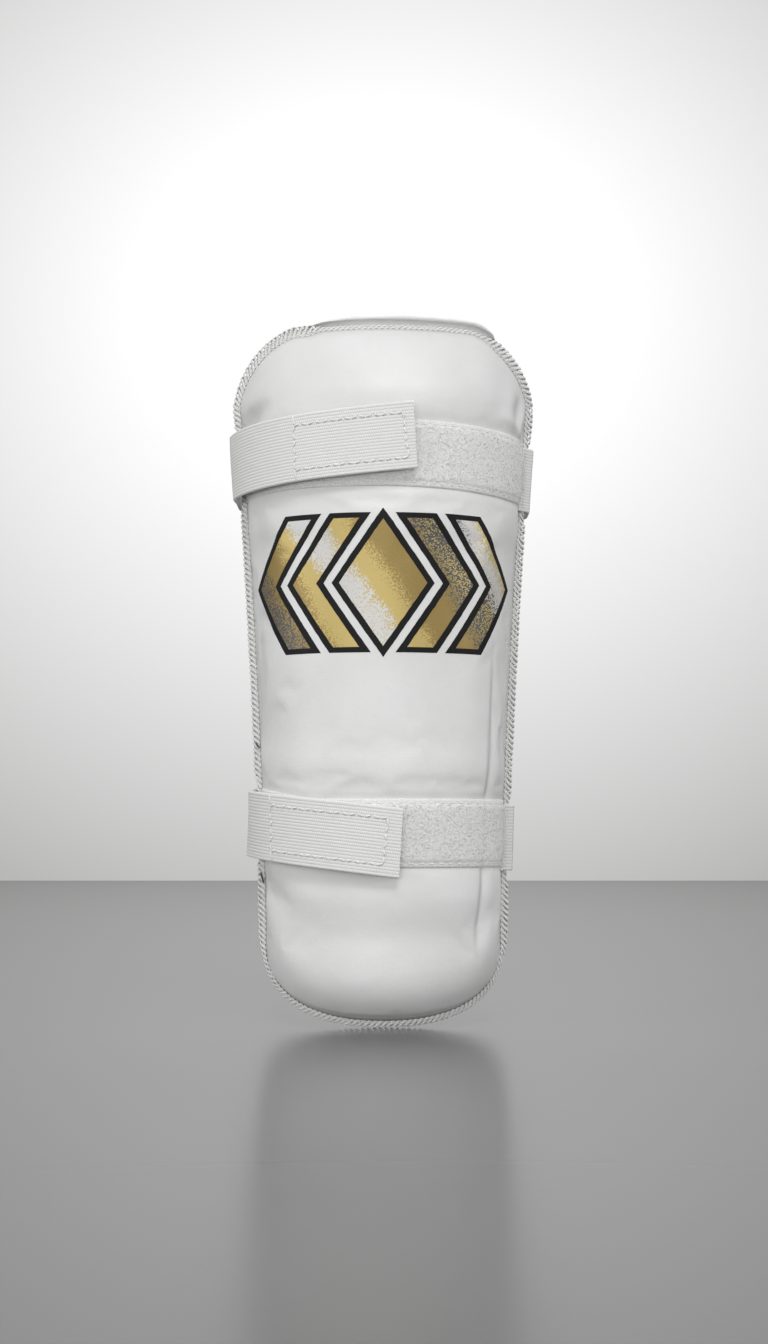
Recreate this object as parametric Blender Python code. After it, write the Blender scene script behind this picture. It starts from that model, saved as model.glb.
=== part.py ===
"""Cricket forearm guard: a padded gutter with two hook-and-loop elastic straps.

Frame: the origin is on the arm side of the lining, at the middle of its centre line.
+Z runs up the forearm towards the elbow, -Y points out of the padded face and the
forearm lies on the +Y side. Lengths are in metres.

Every piece is placed through one chart of the gutter: s is the arc length round the
arm from the centre line, z is the height, and h is the height above the lining.
"""
import math
from dataclasses import dataclass
from functools import partial

import bmesh
import bpy
from mathutils import Matrix, Vector

MM = 0.001
GAP = 0.3 * MM

# Outline of the pad, seen flat
PAD_TOP = 129.2 * MM
PAD_BOTTOM = -131.0 * MM
TOP_FLAT = 0.5
TOP_CORNER_DROP = 26.0 * MM
TOP_CORNER_POWER = 1.5
BOTTOM_CORNER_RISE = 32.0 * MM
BOTTOM_CORNER_POWER = 2.2
WRIST_HALF_WIDTH = 44.5 * MM
ELBOW_FLARE = 10.8 * MM
FLARE_START = -110.0 * MM
FLARE_LENGTH = 204.0 * MM
FLARE_POWER = 1.5
EDGE_ANGLE = math.radians(52.0)

# Padding, as heights above the arm side
LINING_THICKNESS = 0.8 * MM
COVER_THICKNESS = 0.8 * MM
SEAM_HEIGHT = LINING_THICKNESS + GAP + COVER_THICKNESS
CROWN_HEIGHT = 15.0 * MM
SIDE_REACH, SIDE_POWER = 45.0 * MM, 2.0
TOP_REACH, TOP_POWER = 34.0 * MM, 2.0
BOTTOM_REACH, BOTTOM_POWER = 22.0 * MM, 2.6
FOAM_INSET = 5.0 * MM
FOAM_SLACK = 1.0 * MM
PLATE_INSET = 22.0 * MM
PLATE_THICKNESS = 1.8 * MM
COMFORT_DEPTH = 3.6 * MM
POCKET_START = 6.0 * MM
RIM_RISE = 3.8 * MM
RIM_CENTRE = 0.12
RIM_SPAN = 0.56
RIM_THICKNESS = 2.8 * MM
RIM_LEAST = 0.5 * MM

# Overlocked edge
THREAD_BAND = 0.8 * MM
THREAD_OUT = GAP + THREAD_BAND
THREAD_TOP = SEAM_HEIGHT + 0.1 * MM
THREAD_UNDER = 0.1 * MM
EDGE_STEPS = 24

# Straps and tapes
WEBBING = 25.0 * MM
HOOK_WIDTH = 20.0 * MM
STRAP_THICKNESS = 1.4 * MM
TAPE_THICKNESS = 1.2 * MM
HOOK_THICKNESS = 1.0 * MM
ANCHOR_THICKNESS = 1.2 * MM
PILE_ROOM = 0.9 * MM
FLAP_LIFT = (2 * GAP + PILE_ROOM + TAPE_THICKNESS + HOOK_THICKNESS
             + STRAP_THICKNESS / 2)
TAPE_END_LEFT = 3.0 * MM
TAPE_END_RIGHT = 5.0 * MM
EDGE_TURN = 7.0 * MM
ANCHOR_FRONT = 4.6 * MM
ANCHOR_BACK = 13.0 * MM
BEND_SPARE = 0.1 * MM
BAND_START = 2.8 * MM
HALF_SLIT = 0.15 * MM

# Thread laid on the webbing
THREAD_RADIUS = 0.2 * MM
THREAD_LIFT = 0.35 * MM
STITCH_STEP = 2.4 * MM
SEWING_STEP = 5.0 * MM
ZIGZAG = 0.5 * MM

# Printed emblem: a lozenge with two chevrons on each side
EMBLEM_Z = 30.0 * MM
FILM = 0.25 * MM
FILM_LIFT = 0.3 * MM
FILM_STEP = 0.5 * MM
LOZENGE_HALF_WIDTH = 13.5 * MM
EMBLEM_HALF_HEIGHT = 24.0 * MM
CHEVRON_WIDTH = 8.5 * MM
CHEVRON_GAP = 6.5 * MM
OUTLINE = 1.7 * MM


@dataclass
class Strap:
    """One elastic strap, given by the height of its middle at each stage of its run."""
    name: str
    tape_z: float
    anchor_z: float
    edge_z: float
    free_z: float
    free_s: float
    hinge_back: float
    back_depth: float
    patch_length: float
    tape_lift: float
    tape_drop: float
    slant_power: float
    stand_off: float


STRAPS = (
    Strap("upper", tape_z=78.2 * MM, anchor_z=74.9 * MM, edge_z=78.3 * MM, free_z=84.1 * MM,
          free_s=9.2 * MM, hinge_back=12.0 * MM, back_depth=20.0 * MM, patch_length=48.0 * MM,
          tape_lift=0.0, tape_drop=2.0 * MM, slant_power=2.2, stand_off=0.0),
    Strap("lower", tape_z=-61.3 * MM, anchor_z=-62.9 * MM, edge_z=-56.8 * MM, free_z=-64.9 * MM,
          free_s=4.8 * MM, hinge_back=10.5 * MM, back_depth=13.0 * MM, patch_length=48.0 * MM,
          tape_lift=4.5 * MM, tape_drop=0.0, slant_power=1.4, stand_off=2.6 * MM),
)


# ---------------------------------------------------------------- chart of the gutter

def half_width(z):
    share = max((z - FLARE_START) / FLARE_LENGTH, 0.0)
    return WRIST_HALF_WIDTH + ELBOW_FLARE * share ** FLARE_POWER


def gutter_radius(z):
    return half_width(z) / math.sin(EDGE_ANGLE)


def half_arc(z):
    return gutter_radius(z) * EDGE_ANGLE


def place(s, z, h):
    """Point of the chart in space."""
    radius = gutter_radius(z)
    angle = s / radius
    return Vector(((radius + h) * math.sin(angle), radius - (radius + h) * math.cos(angle), z))


def corner_fall(u, power):
    """0 over most of an end of the outline, rising to 1 at its corner."""
    return 1.0 - (1.0 - min(abs(u), 1.0) ** power) ** (1.0 / power)


def top_line(u):
    past = max((abs(u) - TOP_FLAT) / (1.0 - TOP_FLAT), 0.0)
    return PAD_TOP - TOP_CORNER_DROP * corner_fall(past, TOP_CORNER_POWER)


def bottom_line(u):
    return PAD_BOTTOM + BOTTOM_CORNER_RISE * corner_fall(u, BOTTOM_CORNER_POWER)


def rim_rise(u):
    """Extra height of the lining's rolled rim above the cover's top seam."""
    return RIM_RISE * max(1.0 - (abs(u - RIM_CENTRE) / RIM_SPAN) ** 3, 0.0)


def shoulder(distance, reach, power):
    share = min(max(distance / reach, 0.0), 1.0)
    return 1.0 - (1.0 - share) ** power


def front_height(s, z):
    """Height of the cover's outer face, which swells from the seam to the crown."""
    half = half_arc(z)
    u = s / half
    swell = (shoulder(half - abs(s), SIDE_REACH, SIDE_POWER)
             * shoulder(top_line(u) - z, TOP_REACH, TOP_POWER)
             * shoulder(z - bottom_line(u), BOTTOM_REACH, BOTTOM_POWER))
    return SEAM_HEIGHT + (CROWN_HEIGHT - SEAM_HEIGHT) * swell


# ---------------------------------------------------------------- building solids

def new_piece(name, bm, material, pivot=None):
    """Link a mesh as an object; a moving piece hangs on the empty at its hinge."""
    bmesh.ops.recalc_face_normals(bm, faces=bm.faces)
    if pivot is not None:
        bm.transform(pivot.matrix_world.inverted())
    mesh = bpy.data.meshes.new(name)
    bm.to_mesh(mesh)
    bm.free()
    mesh.shade_smooth()
    mesh.set_sharp_from_angle(angle=math.radians(40.0))
    mesh.materials.append(material)
    piece = bpy.data.objects.new(name, mesh)
    piece.parent = pivot
    bpy.context.scene.collection.objects.link(piece)
    return piece


def plate_solid(lower, upper):
    """Closed solid between two grids of points of the same size."""
    bm = bmesh.new()
    grids = [[[bm.verts.new(point) for point in row] for row in grid] for grid in (lower, upper)]
    rows, columns = len(lower), len(lower[0])
    for grid in grids:
        for j in range(rows - 1):
            for i in range(columns - 1):
                bm.faces.new((grid[j][i], grid[j][i + 1], grid[j + 1][i + 1], grid[j + 1][i]))
    rim = [(0, i) for i in range(columns)]
    rim += [(j, columns - 1) for j in range(1, rows)]
    rim += [(rows - 1, i) for i in range(columns - 2, -1, -1)]
    rim += [(j, 0) for j in range(rows - 2, 0, -1)]
    for (j0, i0), (j1, i1) in zip(rim, rim[1:] + rim[:1]):
        bm.faces.new((grids[0][j0][i0], grids[0][j1][i1], grids[1][j1][i1], grids[1][j0][i0]))
    return bm


def loop_solid(sections):
    """Closed ring swept through a list of cross-sections, each a closed loop of points."""
    bm = bmesh.new()
    rings = [[bm.verts.new(point) for point in section] for section in sections]
    for ring, following in zip(rings, rings[1:] + rings[:1]):
        for k in range(len(ring)):
            after = (k + 1) % len(ring)
            bm.faces.new((ring[k], ring[after], following[after], following[k]))
    return bm


def pad_grid(inset, columns, rows):
    """Rows of (s, z) over the pad's outline, drawn in by inset."""
    grid = []
    for j in range(rows + 1):
        even = j / rows
        v = 0.5 * even + 0.25 * (1.0 - math.cos(math.pi * even))
        row = []
        for i in range(columns + 1):
            u = math.sin(math.pi / 2 * (2.0 * i / columns - 1.0))
            top, bottom = top_line(u) - inset, bottom_line(u) + inset
            z = bottom + (top - bottom) * v
            row.append((u * (half_arc(z) - inset), z))
        grid.append(row)
    return grid


def pad_layer(inset, columns, rows, lower, upper):
    """Layer of the pad between two heights, given as functions of (s, z)."""
    grid = pad_grid(inset, columns, rows)
    faces = [[[place(s, z, height(s, z)) for s, z in row] for row in grid]
             for height in (lower, upper)]
    return plate_solid(*faces)


# ---------------------------------------------------------------- the pad

def stuffing(s, z):
    """Room for foam between the lining and the cover."""
    return front_height(s, z) - COVER_THICKNESS - FOAM_SLACK - LINING_THICKNESS - GAP


def comfort_top(s, z):
    return LINING_THICKNESS + GAP + min(0.5 * stuffing(s, z), COMFORT_DEPTH) - GAP / 2


def core_bottom(s, z):
    """Underside of the foam core, with a shallow pocket for the plate."""
    pocket = min(max(stuffing(s, z) - POCKET_START, 0.0), PLATE_THICKNESS + GAP)
    return comfort_top(s, z) + GAP + pocket


def cover_underside(s, z):
    return front_height(s, z) - COVER_THICKNESS


def build_pad(finish):
    base = LINING_THICKNESS + GAP
    layers = (
        ("rear_lining", "lining", 0.0, 18, 8,
         lambda s, z: 0.0, lambda s, z: LINING_THICKNESS),
        ("comfort_foam", "soft_foam", FOAM_INSET, 18, 10,
         lambda s, z: base, comfort_top),
        ("impact_shell", "plate", PLATE_INSET, 12, 8,
         lambda s, z: comfort_top(s, z) + GAP, lambda s, z: comfort_top(s, z) + PLATE_THICKNESS),
        ("foam_core", "core_foam", FOAM_INSET, 18, 16,
         core_bottom, lambda s, z: cover_underside(s, z) - FOAM_SLACK),
        ("front_cover", "cover", 0.0, 18, 22,
         cover_underside, front_height),
    )
    for name, slot, inset, columns, rows, lower, upper in layers:
        new_piece(name, pad_layer(inset, columns, rows, lower, upper), finish[slot])


def outline_points(out, per_side):
    """(s, z) round the pad's outline, grown outwards by out."""
    stations = []
    for k in range(4 * per_side):
        side, step = divmod(k, per_side)
        even = step / per_side
        swing = math.sin(math.pi / 2 * (2.0 * even - 1.0))
        u = (swing, 1.0, -swing, -1.0)[side]
        v = (0.0, even, 1.0, 1.0 - even)[side]
        z = (bottom_line(u) - out) * (1.0 - v) + (top_line(u) + out) * v
        stations.append((u * (half_arc(z) + out), z))
    return stations


def build_overlock(finish):
    inner = outline_points(GAP, EDGE_STEPS)
    outer = outline_points(THREAD_OUT, EDGE_STEPS)
    sections = [[place(s0, z0, -THREAD_UNDER), place(s1, z1, -THREAD_UNDER),
                 place(s1, z1, THREAD_TOP),
                 place(s0, z0, THREAD_TOP)]
                for (s0, z0), (s1, z1) in zip(inner, outer)]
    new_piece("edge_overlock", loop_solid(sections), finish["thread"])


def build_rim(finish):
    """Rolled hem of the lining, standing above the overlocked top seam."""
    columns = 24
    start = THREAD_OUT + 2 * GAP
    lower, upper = [], []
    for share in (0.0, 0.5, 1.0):
        low_row, high_row = [], []
        for i in range(columns + 1):
            u = RIM_CENTRE + RIM_SPAN * (2.0 * i / columns - 1.0)
            out = start + max(rim_rise(u) - start, RIM_LEAST) * share
            z = top_line(u) + out
            s = u * (half_arc(z) + out)
            thick = RIM_THICKNESS * (1.0 - 0.3 * (2.0 * share - 1.0) ** 2)
            low_row.append(place(s, z, 0.0))
            high_row.append(place(s, z, thick))
        lower.append(low_row)
        upper.append(high_row)
    new_piece("top_rim_roll", plate_solid(lower, upper), finish["lining"])


# ---------------------------------------------------------------- strap run

def edge_side(z):
    """Distance from the middle plane of a strap's centre line where it passes the edge."""
    corner = place(half_arc(z) + THREAD_OUT, z, THREAD_TOP)
    return corner.x + GAP + STRAP_THICKNESS / 2


def left_side(strap, z):
    """The same at the left edge, where a slanting strap stands off towards its lower edge."""
    below = min(max((strap.edge_z + WEBBING / 2 - z) / WEBBING, 0.0), 1.0)
    return edge_side(z) + strap.stand_off * below


def edge_depth(z):
    return place(half_arc(z) + THREAD_OUT, z, 0.0).y


def front_run(strap, z):
    """Centre line of the flap over the padded face, from its free end to the edge turn."""
    steps = 18
    start, stop = strap.free_s, -(half_arc(z) - EDGE_TURN)
    points = []
    for i in range(steps + 1):
        s = start + (stop - start) * i / steps
        points.append(place(s, z, front_height(s, z) + FLAP_LIFT))
    return points


def edge_run(strap, z, last, before):
    """Turn from the padded face round the left edge to the hinge line behind it."""
    side = left_side(strap, z)
    corner = Vector((-side, edge_depth(z) + 1.0 * MM, z))
    reach = (corner - last).length * 0.45
    leave = last + (last - before).normalized() * reach
    arrive = corner - Vector((0.0, 1.0, 0.0)) * reach
    points = []
    steps = 6
    for i in range(1, steps + 1):
        t = i / steps
        points.append(last * (1 - t) ** 3 + leave * 3 * t * (1 - t) ** 2
                      + arrive * 3 * t * t * (1 - t) + corner * t ** 3)
    points.append(Vector((-side, edge_depth(z) + strap.hinge_back, z)))
    return points


def flap_line(strap, z):
    front = front_run(strap, z)
    return front + edge_run(strap, z, front[-1], front[-2])


def band_line(strap, z):
    """Centre line of the elastic behind the arm, from the left hinge to the right edge."""
    left, right, start = left_side(strap, z), edge_side(z), edge_depth(z) + strap.hinge_back
    steps = 22
    points = []
    for i in range(steps + 1):
        angle = math.pi * i / steps
        side = left if 2 * i < steps else right
        points.append(Vector((-side * math.cos(angle),
                              start + strap.back_depth * math.sin(angle), z)))
    points.append(Vector((right, edge_depth(z) + BAND_START, z)))
    return points


def walk(points, distance):
    """Point and outward normal at a distance along a line, extended past its ends."""
    travelled = 0.0
    for a, b in zip(points, points[1:]):
        step = (b - a).length
        if travelled + step >= distance or b is points[-1]:
            along = (b - a) / step
            point = a + along * (distance - travelled)
            return point, Vector((along.y, -along.x, 0.0)) * -1.0
        travelled += step
    raise ValueError("empty line")


def line_length(points):
    return sum((b - a).length for a, b in zip(points, points[1:]))


def ease(t):
    t = min(max(t, 0.0), 1.0)
    return t * t * (3.0 - 2.0 * t)


def flap_middle(strap, share):
    """Height of the flap's middle at a share of its run from the free end."""
    left = min(max(1.0 - share, 0.0), 1.0)
    return strap.edge_z + (strap.free_z - strap.edge_z) * left ** strap.slant_power


def band_middle(strap, share):
    return strap.edge_z + (strap.anchor_z - strap.edge_z) * ease(share)


def flap_point(strap, distance, across, out):
    """Point on the flap: distance from its free end, across its width, out of its middle."""
    total = line_length(flap_line(strap, strap.edge_z))
    share = distance / total
    z = flap_middle(strap, share) + across
    slope = (flap_middle(strap, share + 0.01) - flap_middle(strap, share - 0.01)) / (0.02 * total)
    line = flap_line(strap, z)
    reach = line_length(line)
    lean = -across * slope * (1.0 - ease(share * 2.0))
    point, normal = walk(line, share * reach + lean)
    return point + normal * out


def strap_solid(rows, thickness):
    """Webbing between rows of (point, normal) pairs."""
    lower = [[point - normal * thickness / 2 for point, normal in row] for row in rows]
    upper = [[point + normal * thickness / 2 for point, normal in row] for row in rows]
    return plate_solid(lower, upper)


def flap_rows(strap, first, last, width, lift, steps):
    """Grid of points on a stretch of the flap, as (point, normal) pairs."""
    rows = []
    for k in range(4):
        across = width * (k / 3 - 0.5)
        row = []
        for i in range(steps + 1):
            distance = first + (last - first) * i / steps
            point = flap_point(strap, distance, across, lift)
            above = flap_point(strap, distance, across, lift + MM)
            row.append((point, (above - point).normalized()))
        rows.append(row)
    return rows


def hinge_pivot(name, strap, side, behind):
    """Empty whose local Z is a hinge line on the outer face of the strap."""
    def outer(z):
        reach = left_side(strap, z) if side < 0 else edge_side(z)
        return Vector((side * (reach + STRAP_THICKNESS / 2), edge_depth(z) + behind, z))
    middle = strap.edge_z if side < 0 else strap.anchor_z
    base = outer(middle)
    axis = outer(middle + WEBBING / 2) - outer(middle - WEBBING / 2)
    pivot = bpy.data.objects.new(name, None)
    pivot.matrix_world = Matrix.Translation(base) @ axis.to_track_quat("Z", "Y").to_matrix().to_4x4()
    bpy.context.scene.collection.objects.link(pivot)
    return pivot


# ---------------------------------------------------------------- strap pieces

def build_flap(strap, finish, pivot):
    """Free end of the strap, which peels off the face about the left edge."""
    total = line_length(flap_line(strap, strap.edge_z))
    rows = flap_rows(strap, 0.0, total - HALF_SLIT, WEBBING, 0.0, 26)
    new_piece(strap.name + "_strap_flap", strap_solid(rows, STRAP_THICKNESS),
              finish["elastic"], pivot)
    under = -(STRAP_THICKNESS / 2 + GAP + HOOK_THICKNESS / 2)
    rows = flap_rows(strap, 1.5 * MM, strap.patch_length, HOOK_WIDTH, under, 12)
    new_piece(strap.name + "_hook_patch", strap_solid(rows, HOOK_THICKNESS),
              finish["hook"], pivot)


def build_band(strap, finish, pivot):
    """Elastic behind the arm, from the left hinge line to the right edge."""
    rows = []
    for k in range(3):
        across = WEBBING * (k / 2 - 0.5)
        row = []
        steps = 26
        for i in range(steps + 1):
            share = i / steps
            line = band_line(strap, band_middle(strap, share) + across)
            run = line_length(line)
            row.append(walk(line, HALF_SLIT + (run - HALF_SLIT) * share))
        rows.append(row)
    new_piece(strap.name + "_strap_band", strap_solid(rows, STRAP_THICKNESS),
              finish["elastic"], pivot)


def build_tape(strap, finish):
    """Loop tape across the padded face."""
    columns = 22
    lower, upper = [], []
    for k in range(4):
        low_row, high_row = [], []
        for i in range(columns + 1):
            share = i / columns
            z = tape_height(strap, share, k / 3)
            s = tape_reach(strap, z, share)
            height = front_height(s, z) + GAP
            low_row.append(place(s, z, height))
            high_row.append(place(s, z, height + TAPE_THICKNESS))
        lower.append(low_row)
        upper.append(high_row)
    new_piece(strap.name + "_loop_tape", plate_solid(lower, upper), finish["loop"])


def tape_height(strap, share, across):
    """Height on the tape, whose left end may be pulled up and whose right end may dip."""
    shift = strap.tape_lift * (1.0 - ease(share / 0.35))
    shift -= strap.tape_drop * ease((share - 0.5) / 0.5)
    return strap.tape_z + shift + WEBBING * (across - 0.5)


def tape_reach(strap, z, share):
    left, right = -(half_arc(z) - TAPE_END_LEFT), half_arc(z) - TAPE_END_RIGHT
    return left + (right - left) * share


def bend(centre, radius, first, last, steps):
    """(s, h) points on an arc between two angles in degrees."""
    angles = [math.radians(first + (last - first) * i / steps) for i in range(steps + 1)]
    return [(centre[0] + radius * math.cos(a), centre[1] + radius * math.sin(a)) for a in angles]


def build_anchor(strap, finish):
    """End of the elastic, folded round the right edge and sewn down front and back."""
    rows = []
    for k in range(4):
        z = strap.anchor_z + WEBBING * (k / 3 - 0.5)
        half = half_arc(z)
        lift = GAP + ANCHOR_THICKNESS / 2
        front = [(half - inset, front_height(half - inset, z) + lift)
                 for inset in (ANCHOR_FRONT, ANCHOR_FRONT / 2)]
        edge = half + THREAD_OUT
        turn = bend((edge, THREAD_TOP), lift + BEND_SPARE, 100.0, 0.0, 4)
        turn += bend((edge, -THREAD_UNDER), lift + BEND_SPARE, 0.0, -90.0, 4)
        back = [(half - reach, -lift - THREAD_UNDER) for reach in (ANCHOR_BACK / 2, ANCHOR_BACK)]
        centres = [place(s, z, h) for s, h in front + turn + back]
        row = []
        for i, point in enumerate(centres):
            before, after = centres[max(i - 1, 0)], centres[min(i + 1, len(centres) - 1)]
            along = (after - before).normalized()
            row.append((point, Vector((along.y, -along.x, 0.0))))
        rows.append(row)
    new_piece(strap.name + "_strap_anchor", strap_solid(rows, ANCHOR_THICKNESS),
              finish["elastic"])


# ---------------------------------------------------------------- thread

def thread_loop(points, normals):
    """Closed run of thread with a square section, lying along surface points."""
    count = len(points)
    sections = []
    for i in range(count):
        along = (points[(i + 1) % count] - points[i - 1]).normalized()
        out = (normals[i] - along * normals[i].dot(along)).normalized()
        side = along.cross(out)
        sections.append([points[i] + side * THREAD_RADIUS, points[i] + out * THREAD_RADIUS,
                         points[i] - side * THREAD_RADIUS, points[i] - out * THREAD_RADIUS])
    return loop_solid(sections)


def rectangle_path(x0, x1, y0, y1, pitch, wiggle):
    """Closed rectangle of (x, y) points at about one pitch, stepped in and out by wiggle."""
    corners = [(x0, y0), (x1, y0), (x1, y1), (x0, y1)]
    points = []
    for (ax, ay), (bx, by) in zip(corners, corners[1:] + corners[:1]):
        length = math.hypot(bx - ax, by - ay)
        count = 2 * max(round(length / (2 * pitch)), 1)
        nx, ny = (by - ay) / length, (ax - bx) / length
        for i in range(count):
            t = i / count
            push = wiggle if i % 2 else 0.0
            points.append((ax + (bx - ax) * t - nx * push, ay + (by - ay) * t - ny * push))
    return points


def build_flap_stitching(strap, finish, pivot):
    """Thread box that holds the hook patch, seen on the flap's outer face."""
    lift = STRAP_THICKNESS / 2 + THREAD_LIFT
    points, normals = [], []
    edge = HOOK_WIDTH / 2 - 2.0 * MM
    for x, y in rectangle_path(4.0 * MM, strap.patch_length - 2.0 * MM, -edge, edge,
                               STITCH_STEP, ZIGZAG):
        point = flap_point(strap, x, y, lift)
        points.append(point)
        normals.append(flap_point(strap, x, y, lift + MM) - point)
    new_piece(strap.name + "_flap_stitching", thread_loop(points, normals),
              finish["thread"], pivot)


def build_tape_stitching(strap, finish):
    """Thread that sews the loop tape down along its edges."""
    points, normals = [], []
    run = 2 * half_arc(strap.tape_z) - TAPE_END_LEFT - TAPE_END_RIGHT
    margin = 2.2 * MM
    for x, y in rectangle_path(margin, run - margin, margin, WEBBING - margin,
                               SEWING_STEP, 0.0):
        share = x / run
        z = tape_height(strap, share, y / WEBBING)
        s = tape_reach(strap, z, share)
        height = front_height(s, z) + GAP + TAPE_THICKNESS
        points.append(place(s, z, height + THREAD_LIFT))
        normals.append(place(s, z, height + MM) - place(s, z, height))
    new_piece(strap.name + "_tape_stitching", thread_loop(points, normals), finish["thread"])


def build_bartack(strap, finish):
    """Dense bar of thread across the folded strap end, on its front leg."""
    points, normals = [], []
    lift = 2 * GAP + ANCHOR_THICKNESS + THREAD_RADIUS
    for x, y in rectangle_path(-0.5 * MM, 0.5 * MM, -10.0 * MM, 10.0 * MM,
                               SEWING_STEP, 0.0):
        z = strap.anchor_z + y
        s = half_arc(z) - 2.4 * MM + x
        points.append(place(s, z, front_height(s, z) + lift))
        normals.append(place(s, z, MM) - place(s, z, 0.0))
    new_piece(strap.name + "_anchor_bartack", thread_loop(points, normals), finish["thread"])


# ---------------------------------------------------------------- emblem

def film_solid(columns, rows, where, lift):
    """Thin film over the cover; where(a, b) gives (s, z) for a and b from 0 to 1."""
    lower, upper = [], []
    for j in range(rows + 1):
        low_row, high_row = [], []
        for i in range(columns + 1):
            s, z = where(i / columns, j / rows)
            height = front_height(s, z) + lift
            low_row.append(place(s, z, height))
            high_row.append(place(s, z, height + FILM))
        lower.append(low_row)
        upper.append(high_row)
    return plate_solid(lower, upper)


def lozenge_area(outline):
    """Middle shape, grown by an outline on every side."""
    slant = math.hypot(LOZENGE_HALF_WIDTH, EMBLEM_HALF_HEIGHT)
    grow = 1.0 + outline * slant / (LOZENGE_HALF_WIDTH * EMBLEM_HALF_HEIGHT)

    def where(a, b):
        return (grow * LOZENGE_HALF_WIDTH * (a + b - 1.0),
                EMBLEM_Z + grow * EMBLEM_HALF_HEIGHT * (b - a))
    return where


def chevron_area(side, turn, outline):
    """One chevron, its sides parallel to the lozenge's; turn counts from the lozenge out."""
    slope = LOZENGE_HALF_WIDTH / EMBLEM_HALF_HEIGHT
    sideways = outline * math.hypot(1.0, slope)
    start = CHEVRON_GAP + turn * (CHEVRON_WIDTH + CHEVRON_GAP) - sideways

    def where(a, b):
        rise = (EMBLEM_HALF_HEIGHT + outline) * (2.0 * b - 1.0)
        inner = LOZENGE_HALF_WIDTH - slope * abs(rise) + start
        return side * (inner + (CHEVRON_WIDTH + 2.0 * sideways) * a), EMBLEM_Z + rise
    return where


def build_print(name, columns, rows, area, finish):
    """One printed shape: black ink with a gold film on it that leaves an outline."""
    new_piece(name + "_outline", film_solid(columns, rows, area(OUTLINE), FILM_LIFT),
              finish["black_film"])
    new_piece(name, film_solid(columns, rows, area(0.0), FILM_LIFT + FILM + FILM_STEP),
              finish["gold_film"])


def build_emblem(finish):
    build_print("emblem_lozenge", 8, 8, lozenge_area, finish)
    for side, hand in ((-1, "left"), (1, "right")):
        for turn, row in enumerate(("inner", "outer")):
            build_print("emblem_" + hand + "_" + row + "_chevron", 3, 12,
                        partial(chevron_area, side, turn), finish)


# ---------------------------------------------------------------- materials and assembly

def finish_named(name, colour, roughness, metallic=0.0):
    material = bpy.data.materials.new(name)
    material.use_nodes = True
    surface = material.node_tree.nodes["Principled BSDF"]
    surface.inputs["Base Color"].default_value = (*colour, 1.0)
    surface.inputs["Roughness"].default_value = roughness
    surface.inputs["Metallic"].default_value = metallic
    return material


def all_finishes():
    return {
        "cover": finish_named("cover", (0.72, 0.72, 0.71), 0.45),
        "lining": finish_named("lining", (0.74, 0.74, 0.72), 0.9),
        "soft_foam": finish_named("soft_foam", (0.55, 0.57, 0.60), 0.95),
        "core_foam": finish_named("core_foam", (0.20, 0.21, 0.23), 0.9),
        "plate": finish_named("plate", (0.80, 0.80, 0.78), 0.35),
        "loop": finish_named("loop", (0.70, 0.70, 0.67), 0.95),
        "hook": finish_named("hook", (0.78, 0.78, 0.76), 0.6),
        "elastic": finish_named("elastic", (0.74, 0.74, 0.71), 0.8),
        "thread": finish_named("thread", (0.78, 0.78, 0.75), 0.7),
        "black_film": finish_named("black_film", (0.014, 0.014, 0.013), 0.4),
        "gold_film": finish_named("gold_film", (0.42, 0.32, 0.11), 0.35, 0.6),
    }


def build_strap(strap, finish):
    build_tape(strap, finish)
    build_tape_stitching(strap, finish)
    build_anchor(strap, finish)
    build_bartack(strap, finish)
    band_pivot = hinge_pivot(strap.name + "_band_hinge", strap, 1, BAND_START)
    flap_pivot = hinge_pivot(strap.name + "_flap_hinge", strap, -1, strap.hinge_back)
    build_band(strap, finish, band_pivot)
    build_flap(strap, finish, flap_pivot)
    build_flap_stitching(strap, finish, flap_pivot)


def main():
    for existing in list(bpy.data.objects):
        bpy.data.objects.remove(existing, do_unlink=True)
    finish = all_finishes()
    build_pad(finish)
    build_overlock(finish)
    build_rim(finish)
    for strap in STRAPS:
        build_strap(strap, finish)
    build_emblem(finish)
    bpy.context.view_layer.update()


main()
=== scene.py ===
"""Looks of the cricket forearm guard: fabric, webbing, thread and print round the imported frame.

Pieces are placed through the chart that the CAD uses: s is the arc length round the arm
from the centre line, z is the height, and h is the height above the arm side of the
lining. Lengths are in metres, and texture coordinates are in millimetres.
"""
import math
from functools import partial

import bmesh
import bpy
import numpy as np
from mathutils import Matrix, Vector, noise
from mathutils.bvhtree import BVHTree
from mathutils.kdtree import KDTree


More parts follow.
